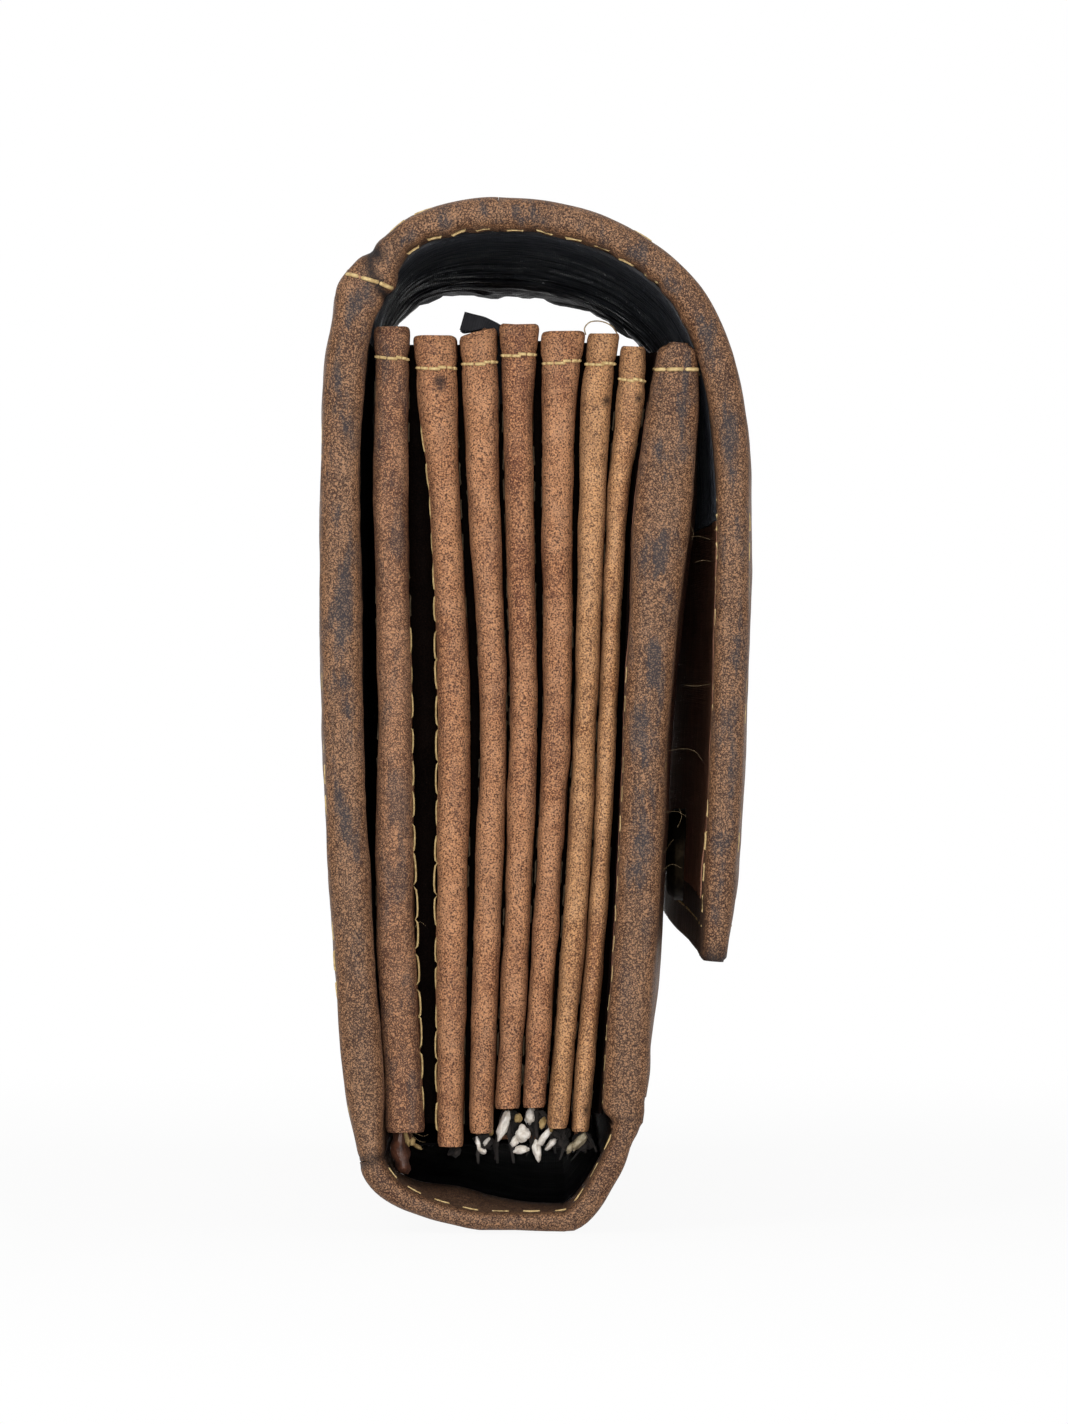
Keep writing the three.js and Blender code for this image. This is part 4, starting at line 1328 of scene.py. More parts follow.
@dataclass
class Leaf:
    """One leaf: a divider whose ends are wrapped in folded leather, hemmed at the top."""

    number: int
    body: str
    left: Sequence[float]
    right: Sequence[float]
    low: float
    top: float
    sewn: float  # height of the hem's seam
    finish: Finish
    stains: Sequence[Triple] = ()  # x, z and size of each spot
    edge: int = 0  # -1 or 1 where the upright seam shows on the left or right
    shown: float = 0.0  # height up to which it shows
    slant: float = 0.0  # how far the top's right corner stands above its middle
    GAP: float = 0.62  # half the hollow that holds the divider

    def __post_init__(self) -> None:
        """Draws the faces."""
        self.faces = (Profile(ROWS, [x + SHIFT for x in self.left]),
                      Profile(ROWS, [x + SHIFT for x in self.right]))

    def centre(self, z: float) -> float:
        """Middle of the leaf at a height."""
        return (self.faces[0](z) + self.faces[1](z)) / 2

    def half(self, z: float) -> float:
        """Half the thickness of the pleat, with its rounded top.

        Args:
            z: the height.

        Returns:
            Half the thickness there.
        """
        half = (self.faces[1](z) - self.faces[0](z)) / 2
        half -= 0.16 * math.exp(-(((z - self.sewn) / 0.45) ** 2))
        away = self.top - z
        if away < 0.6:
            half *= 0.82 + 0.18 * math.sqrt(max(1 - (1 - away / 0.6) ** 2, 0.0))
        if z - self.low < 0.4:
            half -= 0.12 * (1 - (z - self.low) / 0.4)
        return half

    def crumples(self, side: int) -> tuple[Crumple, Crumple]:
        """Lumps of one pleat."""
        seed = self.number * 1.7 + side
        return Crumple(0.2, 6.0, seed), Crumple(0.08, 2.0, seed + 5)

    def wall(self, side: int, end: int, y: float, z: float) -> Spot:
        """Finds a place on a face of a pleat.

        Args:
            side: -1 for the left face, 1 for the right one.
            end: -1 for the near pleat, 1 for the far one.
            y: place along the wallet.
            z: the height.

        Returns:
            The point and the direction away from the face.
        """
        point = Vector((self.centre(z) + side * self.half(z), y, z))
        out = Vector((side, 0, 0))
        return point + out * sum(c.rise(point) for c in self.crumples(end)), out

    def pleat(self, side: int) -> None:
        """Folds leather round one end of the divider.

        Args:
            side: -1 for the near end, 1 for the far one.
        """
        heights = spaced(self.low, self.top, 0.75, (0.08, 0.22, 0.45, 0.8))
        turns, back, deep = 16, PLEAT_TIP - PLEAT_DEPTH, 89.6
        walls = (back, 86.3, 87.6, 88.7)
        ring = [("wall", -1.0, y) for y in walls]
        for k in range(turns + 1):
            a = math.pi * k / turns
            ring.append(("nose", -math.cos(a), PLEAT_TIP - NOSE * (1 - math.sin(a) ** 0.9)))
        ring += [("wall", 1.0, y) for y in reversed(walls)]
        ring += [("hollow", 1.0, back), ("hollow", 1.0, deep), ("hollow", -1.0, deep),
                 ("hollow", -1.0, back), ring[0]]

        def place(z: float, spot: tuple[str, float, float]) -> Vector:
            """Point of the fold at a height and a place round the ring.

            Args:
                z: the height.
                spot: part, share of the half thickness and place in Y.

            Returns:
                The point.
            """
            kind, share, y = spot
            half = self.GAP if kind == "hollow" else self.half(z)
            across = math.copysign(abs(share) ** 0.86, share) if kind == "nose" else share
            lift = self.slant * share * ease(z, self.top - 4, self.top)
            if y > deep - 0.1:
                y -= 0.35 * ease(z, self.top - 0.9, self.top)
            return Vector((self.centre(z) + half * across, side * y, z + lift))

        bm = gridded(heights, ring, place)
        rub = bm.verts.layers.float.new("rub")
        stain_and_shade = bm.verts.layers.float.new("stain_and_shade")
        for v in bm.verts:
            nose = ease(abs(v.co.y), 89.4, 90.8)
            v[rub] = nose * (0.62 if self.number == 1 else 0.16)
            half = max(self.half(v.co.z), 0.3)
            # Darker towards the sides of the nose: partly dirt on the edges, partly painted shade
            # where the pleats meet.
            v[stain_and_shade] = 0.5 * nose * ease(abs(v.co.x - self.centre(v.co.z)) / half, 0.5, 1.0)
            for x, z, size in self.stains:
                away = math.hypot(v.co.x - x - SHIFT, (v.co.z - z) * 0.8) / size
                if side < 0 and nose > 0.3:
                    v[stain_and_shade] = max(v[stain_and_shade], 0.9 * ease(away, 1.25, 0.35))
            v[stain_and_shade] = max(v[stain_and_shade], 0.13 * ease(v.co.z, self.sewn - 1.5, self.sewn + 1.0))
        close(bm)
        for crumple in self.crumples(side):
            crumple.press(bm)
        name = f"{end_name(side)}_{self.number}"
        finished(bm, f"pleat_leather_{name}", self.finish, "pleat_leather", self.body,
                 (f"pleat_{name}",))

    def divider(self) -> None:
        """The divider between the two pleats, with a turned hem along its top."""
        reach, low, top = 89.4, 8.9, self.top - 0.25
        heights = spaced(low, top, 2.4, (0.15, 0.4, 0.8))
        places = spaced(-reach, reach, 4.0, (0.5, 2.0, 4.4, 5.0, 6.5))
        columns = len(places)

        def place(z: float, j: int) -> Vector:
            """Point at a height, along one face and then back along the other.

            Args:
                z: the height.
                j: number of the column.

            Returns:
                The point.
            """
            wrap = j if j < columns else 2 * columns - 1 - j
            y = places[min(wrap, columns - 1) if j < 2 * columns else 0]
            side = -1 if j < columns or j == 2 * columns else 1
            y *= 1 - 0.06 * ease(z, self.low + 1.2, self.low)
            middle = ease(abs(y), 85.2, 82.0)
            half = DIVIDER_HALF + middle * (0.55 * ease(z, top - 12.2, top - 11.2))
            if top - z < 0.8:
                half *= 0.4 + 0.6 * math.sqrt(max(1 - (1 - (top - z) / 0.8) ** 2, 0.0))
            lean = 0.12 * middle * noise.noise(Vector((y / 22, z / 18, self.number * 3.1)))
            return Vector((self.centre(z) + side * half + lean, y, z))

        bm = gridded(heights, range(2 * columns + 1), place)
        close(bm)
        finished(bm, f"divider_leather_{self.number}", Finish.DIVIDER, "divider_leather",
                 self.body, (f"divider_{self.number}",))

    def seams(self) -> None:
        """Hem seam along the top and round both noses, and the upright seams of the pleats."""
        seam = Seam(0.16, seed=40 + self.number)
        upright = Seam(0.1, seed=60 + self.number)
        shown = Seam(0.1, seed=80 + self.number)
        for side in (-1, 1):
            out = Vector((side, 0, 0))
            face = self.centre(self.sewn) + side * 1.06
            for end in (-1, 1):
                seam.row(lambda y, f=face, o=out: (Vector((f, y, self.sewn)), o), end * 81.0,
                         0.0, 3.0)
                split = self.shown if side == self.edge else self.low + 1.5
                rows = ((shown, 1.3, self.low + 1.5, split, 0.14, 0.94),
                        (upright, 4.9, split, self.sewn - 2.0, -0.06, 0.66))
                for thread, inset, first, last, lift, share in rows:
                    if last - first > 3:
                        y = end * (PLEAT_TIP - inset)
                        thread.row(lambda z, s=side, e=end, y=y: self.wall(s, e, y, z),
                                   first, last, 3.35, share, lift, 0.3)
        for end in (-1, 1):
            self.round_nose(seam, end)
        # The upright seams lie deep in the gaps and take the thread darkened as painted shade.
        upright.sewn(f"pleat_thread_{self.number}", Finish.DARK_THREAD, body=self.body)
        if self.edge:
            shown.sewn(f"edge_thread_{self.number}", Finish.OLD_THREAD, body=self.body)
        seam.sewn(f"leaf_thread_{self.number}", body=self.body)

    def round_nose(self, seam: Seam, end: int) -> None:
        """Sews two stitches round a nose that meet near its middle.

        Args:
            seam: the seam that they belong to.
            end: -1 for the near nose, 1 for the far one.
        """
        wander = random.Random(self.number * 3 + end)
        lift = wander.uniform(-0.2, 0.2)

        def edge(t: float, drop: float) -> Spot:
            """Finds a place round the nose.

            Args:
                t: share of the way round.
                drop: height above the seam's line.

            Returns:
                The point and the direction away from it.
            """
            a = math.pi * t
            half = self.half(self.sewn)
            x = -math.copysign(abs(math.cos(a)) ** 0.86, math.cos(a)) * half
            y = PLEAT_TIP - NOSE * (1 - math.sin(a) ** 0.9)
            out = Vector((-math.cos(a), end * math.sin(a) * 1.4, 0)).normalized()
            return Vector((self.centre(self.sewn) + x, end * y, self.sewn + drop)), out

        middle = 0.5 + wander.uniform(-0.1, 0.1)
        stitches = ((0.03, middle + 0.02, lift, -0.12), (middle - 0.03, 0.97, 0.08, -lift))
        for a, b, da, db in stitches:
            points = [edge(a + (b - a) * k / 3, da + (db - da) * k / 3) for k in range(4)]
            for (start, one), (stop, two) in zip(points, points[1:]):
                seam.stitch(start, stop, (one + two).normalized(), 0.15)

    def build(self) -> None:
        """Makes the pleats, the divider and the seams."""
        for side in (-1, 1):
            self.pleat(side)
        self.divider()
        self.seams()


PRESSED = 0.1  # share of the gap that neighbouring leaves fill from either side
LEAF_BODIES = ("cover", "leaf_2", "coin_pocket", "coin_pocket", "leaf_5", "leaf_6", "front")
FRONT_FACES = ((6.7, 8.1, 9.1, 10.0, 11.4, 12.4), (11.1, 12.5, 13.6, 15.7, 16.5, 16.4))


def leaves() -> list[Leaf]:
    """Sets out the leaves from the faces that the picture shows.

    Returns:
        The seven leaves from back to front.
    """
    rows = (
        ((-15.0, -16.0, -15.8, -16.2, -16.1, -16.1), (-11.3, -12.1, -12.4, -12.8, -12.7, -12.6),
         10.0, 90.7, 87.6, Finish.DARK_LEAF, (), 1, 61.0),
        ((-9.8, -9.9, -9.8, -10.5, -11.7, -12.2), (-7.2, -6.9, -6.7, -7.6, -7.9, -7.9),
         8.5, 89.9, 86.6, Finish.LEAF, ((-9.5, 85.2, 0.75),), -1, 81.0),
        ((-6.5, -6.0, -5.4, -6.6, -7.1, -7.5), (-4.1, -3.4, -2.9, -3.7, -3.7, -3.8),
         9.8, 90.3, 87.1, Finish.LEAF, (), 0, 0.0, 0.42),
        ((-3.9, -3.0, -2.5, -3.0, -3.2, -3.4), (-1.5, -0.4, 0.1, -0.2, -0.3, 0.2),
         12.3, 91.0, 87.9, Finish.LEAF, ()),
        ((-1.2, 0.0, 0.9, 0.8, 0.9, 0.7), (1.1, 2.4, 3.6, 3.7, 4.1, 4.8),
         12.4, 90.3, 87.2, Finish.LEAF, ()),
        ((1.5, 3.0, 4.0, 4.6, 4.7, 5.2), (3.5, 5.3, 6.3, 7.0, 7.6, 8.3),
         10.3, 90.1, 87.0, Finish.PALE_LEAF, ((7.2, 83.3, 0.5),)),
        ((3.9, 5.5, 6.5, 7.3, 8.2, 8.7), (5.7, 7.3, 8.3, 9.3, 11.0, 11.1),
         9.9, 88.8, 85.4, Finish.PALE_LEAF, ((10.4, 83.4, 0.42), (5.2, 12.2, 0.35))),
    )
    faces = [(list(row[0]), list(row[1])) for row in rows]
    for (_, right), (left, _) in list(zip(faces, faces[1:]))[1:]:
        for k, (a, b) in enumerate(zip(right, left)):
            right[k], left[k] = a + PRESSED * (b - a), b - PRESSED * (b - a)
    return [Leaf(k + 1, LEAF_BODIES[k], *faces[k], *row[2:]) for k, row in enumerate(rows)]


@dataclass
class Web:
    """The inward fold between two neighbouring pleats at one end of the wallet."""

    left: Leaf
    right: Leaf
    side: int
    top: float

    OUTER = 85.3
    INNER = 75.0
    THICK = 0.4

    def arm(self, leaf: Leaf, way: int, z: float) -> float:
        """Where the fold lies against a leaf."""
        return leaf.centre(z) + way * (DIVIDER_HALF + 0.12 + self.THICK / 2)

    def build(self) -> None:
        """Makes the folded web."""
        low = max(self.left.low, self.right.low) + 0.1
        heights = spaced(low, self.top, 2.0)
        arm, turns = 6, 8
        count = 2 * arm + turns

        def place(z: float, j: int) -> Vector:
            """Point at a height, in along one leaf, round the fold and out along the other.

            Args:
                z: the height.
                j: number of the column.

            Returns:
                The point.
            """
            a, b = self.arm(self.left, 1, z), self.arm(self.right, -1, z)
            half = (b - a) / 2
            inner = self.INNER + half + 0.5 * noise.noise(Vector((z / 14, self.left.number, 0)))
            if j <= arm:
                return Vector((a, self.side * (self.OUTER + (inner - self.OUTER) * j / arm), z))
            if j >= arm + turns:
                k = (count - j) / arm
                return Vector((b, self.side * (self.OUTER + (inner - self.OUTER) * k), z))
            t = math.pi * (j - arm) / turns
            return Vector(((a + b) / 2 - half * math.cos(t),
                           self.side * (inner - half * math.sin(t)), z))

        bm = gridded(heights, range(count + 1), place)
        thicken(bm, self.THICK)
        name = f"{end_name(self.side)}_{self.left.number}"
        piece = finished(bm, f"web_leather_{name}", Finish.INNER, "pleat_leather",
                         nodes=(f"web_{name}",))
        self.carry(piece, low)
        line = [place(heights[len(heights) // 2], j) for j in range(count + 1)]
        width = sum((b - a).length for a, b in zip(line, line[1:]))

    def carry(self, piece: Piece, low: float) -> None:
        """Lets the web ride with its leaves where they move as one, else leaves it where it is.

        Args:
            piece: the web.
            low: the height of its foot.
        """
        first, second = self.left.body, self.right.body
        if first == second or self.right.number == 7:
            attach(piece, first)
            return
        heights = [low + (self.top - low) * k / 20 for k in range(21)]
        middle = [(self.arm(self.left, 1, z) + self.arm(self.right, -1, z)) / 2 for z in heights]
        lean = (middle[-1] - middle[0]) / (heights[-1] - heights[0])
        before = max(self.arm(self.left, 1, z) - lean * z for z in heights) + 0.25
        after = min(self.arm(self.right, -1, z) - lean * z for z in heights) - 0.25
        unit = 1 + lean * lean
        start = (before / unit, -before * lean / unit)
        end = (after / unit, -after * lean / unit)
        Hinge(first, second, start, end).bind(piece)


class Accordion:
    """Seven leaves, the webs between them and the floor of the pockets."""

    def __init__(self, front_inner: Profile) -> None:
        """Sets out the leaves.

        Args:
            front_inner: the front's inner face over its height.
        """
        self.leaves = leaves()
        self.front_inner = front_inner

    def build(self) -> None:
        """Makes every leaf and web and the floor."""
        for leaf in self.leaves:
            leaf.build()
        for left, right in zip(self.leaves, self.leaves[1:]):
            coin = left.number == 3
            top = Zip.LOW - 0.4 if coin else min(left.top, right.top) - 0.5
            for side in (-1, 1):
                Web(left, right, side, top).build()
        self.floor()
        for side in (-1, 1):
            self.gusset("front_web", self.leaves[6], self.front_inner, side, (11.5, 88.3),
                        Finish.INNER, "pleat_leather", "front")
            self.gusset("tape_fold", self.leaves[2], lambda z: self.leaves[3].centre(z) - 0.55,
                        side, (83.2, 89.8), Finish.TAPE, "black_cloth", "coin_pocket")

    def gusset(self, name: str, leaf: Leaf, other: Curve, side: int,
               span: Flat, finish: Finish, slot: str, body: str) -> None:
        """A small inward fold between a leaf and the face on its right.

        Args:
            name: start of the piece's name.
            leaf: the leaf that it starts from.
            other: the face that it runs to, by height.
            side: -1 for the near end, 1 for the far end.
            span: lowest and highest point.
            finish: its finish.
            slot: the record's material slot.
            body: the body that it rides on.
        """
        heights, columns = spaced(span[0], span[1], 2.0), 8

        def place(z: float, j: int) -> Vector:
            """Point at a height and a share of the way across."""
            t = j / columns
            x = (leaf.centre(z) + 0.55) * (1 - t) + other(z) * t
            return Vector((x, side * (84.4 - 2.4 * math.sin(math.pi * t)), z))

        bm = gridded(heights, range(columns + 1), place)
        weave_map(bm, heights, range(columns + 1))
        thicken(bm, 0.4)
        finished(bm, f"{name}_{end_name(side)}", finish, slot, body)

    def floor(self) -> None:
        """Cloth floor of the pockets."""
        first, last = self.leaves[0].centre(13), self.leaves[-1].centre(13)
        reach = HALF - 13
        xs, ys = spaced(first, last, 1.5), spaced(-reach, reach, 4.0)

        def place(x: float, y: float) -> Vector:
            """Point of the sagging floor."""
            sag = 0.4 * noise.noise(Vector((x / 4, y / 10, 7.0)))
            return Vector((x, y, 8.12 + sag))

        bm = gridded(xs, ys, place)
        weave_map(bm, xs, ys)
        thicken(bm, 0.14)
        piece = finished(bm, "floor_cloth", Finish.FLOOR_CLOTH, "black_cloth", "cover",
                         ("pocket_floor",))


# Zip, press stud and loose ends


class Zip:
    """Tapes and coil of the coin pocket, and the tape end that stands up at the near end."""

    REACH = 82.5
    LOW, TOP = 83.9, 91.2

    def __init__(self, left: Leaf, right: Leaf) -> None:
        """Sets the zip between two leaves."""
        self.left, self.right = left, right

    def tape(self, leaf: Leaf, way: int, name: str, node: str) -> None:
        """Makes one tape, sewn to the inside of a leaf.

        Args:
            leaf: the leaf.
            way: 1 where the opening is to the right of it, else -1.
            name: the piece's name.
            node: the solid that it replaces.
        """
        heights = spaced(self.LOW, self.TOP, 0.8)
        places = spaced(-self.REACH, self.REACH, 3.0, (0.6,))

        def place(height: float, y: float) -> Vector:
            """Point of the tape, lower where it runs out at either end."""
            drop = 1.5 * ease(abs(y), self.REACH - 11, self.REACH - 3)
            z = height - drop * ease(height, self.LOW, self.TOP)
            hem = 1.32 + 0.12 * noise.noise(Vector((y / 6, z / 4, way)))
            return Vector((leaf.centre(z) + way * hem, y, z))

        bm = gridded(heights, places, place)
        weave_map(bm, heights, places)
        thicken(bm, 0.35)
        finished(bm, name, Finish.TAPE, "black_cloth", "coin_pocket", (node,))

    def coil(self) -> None:
        """Loops of the coil, one after the other along the opening."""
        seam = Seam(0.3, seed=9)
        x = (self.left.centre(91.5) + self.right.centre(91.5)) / 2
        half = 0.62
        first, pitch = -self.REACH + 16.0, 1.25
        for k in range(int((self.REACH - first) / pitch)):
            y = first + k * pitch
            for way in (-1, 1):
                start = Vector((x - way * half * 0.2, y + way * 0.3, 91.2))
                end = Vector((x + way * half * 1.35, y + way * 0.3, 91.0))
                seam.stitch(start, end, Vector((0, 0, 1)), 0.42)
        seam.sewn("coil_loops", Finish.COIL, "black_cloth", "coin_pocket", ("zip_coil",))

    def tape_end(self) -> None:
        """Folded end of the tape that leans over the leaf beside it."""
        line = Course(bend(at(-3.2, 90.9), at(-4.6, 92.0), at(-7.1, 92.4), 20), 1)
        stops = spaced(0.0, line.length, 0.35)
        places = spaced(-84.5, -76.0, 0.8, (0.2,))

        def place(s: float, y: float) -> Vector:
            """Point of the upper layer."""
            half = 0.24 + 0.42 * ease(s, 0.8, line.length)
            return line.on(s, half * 0.2 * noise.noise(Vector((s, y, 2))), y)

        bm = gridded(stops, places, place)
        weave_map(bm, stops, places)
        row = bm.verts.layers.int["row"]
        bm.normal_update()
        flip = -1 if sum(v.normal.z for v in bm.verts) < 0 else 1
        lower = bmesh.ops.duplicate(bm, geom=bm.verts[:] + bm.edges[:] + bm.faces[:])
        made = [g for g in lower["geom"] if isinstance(g, bmesh.types.BMVert)]
        for v in made:
            v.co -= v.normal * (flip * (0.95 + 0.95 * ease(stops[v[row]], 0.8, line.length)))
        rims = [e for e in bm.edges if e.is_boundary]
        bmesh.ops.bridge_loops(bm, edges=rims)
        finished(bm, "tape_end", Finish.TAPE, "black_cloth", "coin_pocket")

    def slider(self) -> None:
        """Slider body with a waisted plate, side flanges and a wire bail."""
        low, high = (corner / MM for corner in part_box("zip_slider"))
        middle = (low + high) / 2
        bm = bmesh.new()
        for base, height, grow in ((92.25, 0.8, 0.0), (90.3, 0.6, -0.3)):
            part = bmesh.ops.create_grid(bm, x_segments=8, y_segments=12, size=0.5)
            faces = list({face for v in part["verts"] for face in v.link_faces})
            for v in part["verts"]:
                along = v.co.y * 2
                waist = 1 - 0.26 * ease(along, -0.2, 1.0) - 0.1 * (along < -0.9)
                v.co = Vector((middle.x + v.co.x * (4.8 + grow) * waist,
                               middle.y + v.co.y * (high.y - low.y), base))
            raised = bmesh.ops.extrude_face_region(bm, geom=faces)
            top = [g for g in raised["geom"] if isinstance(g, bmesh.types.BMVert)]
            bmesh.ops.translate(bm, verts=top, vec=(0, 0, height))
        for side in (-1, 1):
            wall = bmesh.ops.create_cube(bm, size=1.0)["verts"]
            bmesh.ops.scale(bm, vec=(0.5, 5.6, 1.0), verts=wall)
            bmesh.ops.translate(bm, verts=wall, vec=(middle.x + side * 2.1, middle.y - 1.2, 91.9))
        bmesh.ops.recalc_face_normals(bm, faces=bm.faces)
        sharp = [e for e in bm.edges if e.calc_face_angle(0.0) > 1.0]
        bmesh.ops.bevel(bm, geom=sharp, offset=0.16, segments=2, profile=0.5, affect="EDGES",
                        material=-1)
        turns, rings = 8, 14
        bail = bmesh.ops.create_grid(bm, x_segments=rings, y_segments=turns, size=0.5)["verts"]
        for v in bail:
            a = math.pi * (v.co.x + 0.5)
            b = 2 * math.pi * round((v.co.y + 0.5) * turns) / turns
            reach = 1.0 + 0.16 * math.cos(b)
            v.co = Vector((middle.x + 0.45 * math.sin(b), middle.y - 3.0 * math.cos(a) * reach,
                           93.0 + 2.6 * math.sin(a) ** 0.7 * reach))
        bmesh.ops.remove_doubles(bm, verts=bail, dist=WELD)
        finished(bm, "slider_brass", Finish.BRASS, "brass", "zip_slider", ("zip_slider",),
                 crease=40)

    def build(self) -> None:
        """Makes the tapes, the coil, the slider and the tape end."""
        self.tape(self.left, 1, "tape_back", "zip_tape_back")
        self.tape(self.right, -1, "tape_front", "zip_tape_front")
        self.coil()
        self.slider()
        self.tape_end()


@dataclass
class PressStud:
    """Turned brass parts that hold the flap."""

    front: float  # where the front's face is
    height: float = 36.0
    steps: int = 56

    def turned(self, name: str, node: str, body: str, profile: Sequence[Flat],
               finish: Finish = Finish.DULL_BRASS) -> None:
        """A piece turned about the stud's line.

        Args:
            name: the piece's name.
            node: the solid that it stands for.
            body: the body that it rides on.
            profile: points as radius and place along X.
            finish: its finish.
        """
        bm = bmesh.new()
        chain = [bm.verts.new((x, 0.0, self.height + r)) for r, x in profile]
        edges = [bm.edges.new(pair) for pair in zip(chain, chain[1:])]
        bmesh.ops.spin(bm, geom=chain + edges, cent=(0, 0, self.height), axis=(1, 0, 0),
                       angle=2 * math.pi, steps=self.steps, use_merge=True)
        bmesh.ops.remove_doubles(bm, verts=bm.verts, dist=WELD)
        finished(bm, name, finish, "brass", body, (node,), crease=38)

    def build(self) -> None:
        """Makes the cap, the socket and the stud from the places of their solids."""
        low, high = (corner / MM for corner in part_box("snap_cap"))
        base = high.x - 1.0
        self.turned("cap_brass", "snap_cap", "flap_front", (
            (0.0, low.x), (1.3, low.x), (1.3, base), (5.4, base), (5.85, base + 0.06),
            (6.0, base + 0.26), (5.86, base + 0.46), (5.5, base + 0.56), (4.6, base + 0.72),
            (3.2, base + 0.88), (1.6, base + 0.97), (0.0, high.x)), Finish.DARK_BRASS)
        low, high = (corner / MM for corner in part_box("snap_socket"))
        face, foot = low.x, high.x
        self.turned("socket_brass", "snap_socket", "flap_front", (
            (2.8, face + 0.12), (2.95, face), (4.0, face), (4.3, face + 0.14), (4.9, face + 0.7),
            (5.0, face + 0.9), (5.0, foot), (1.42, foot), (1.42, foot - 1.0), (2.8, foot - 1.0),
            (2.8, face + 0.12)))
        low, high = (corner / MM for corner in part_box("snap_stud"))
        start, end = low.x, high.x
        flange = self.front - 0.08
        self.turned("stud_brass", "snap_stud", "front", (
            (0.0, start), (1.3, start), (1.3, flange), (4.4, flange), (4.6, flange + 0.14),
            (4.56, flange + 0.42), (4.2, flange + 0.58), (1.9, flange + 0.66),
            (1.6, flange + 0.9), (1.6, end - 1.0), (1.95, end - 0.7), (2.0, end - 0.5),
            (1.85, end - 0.2), (1.5, end - 0.03), (0.0, end)))


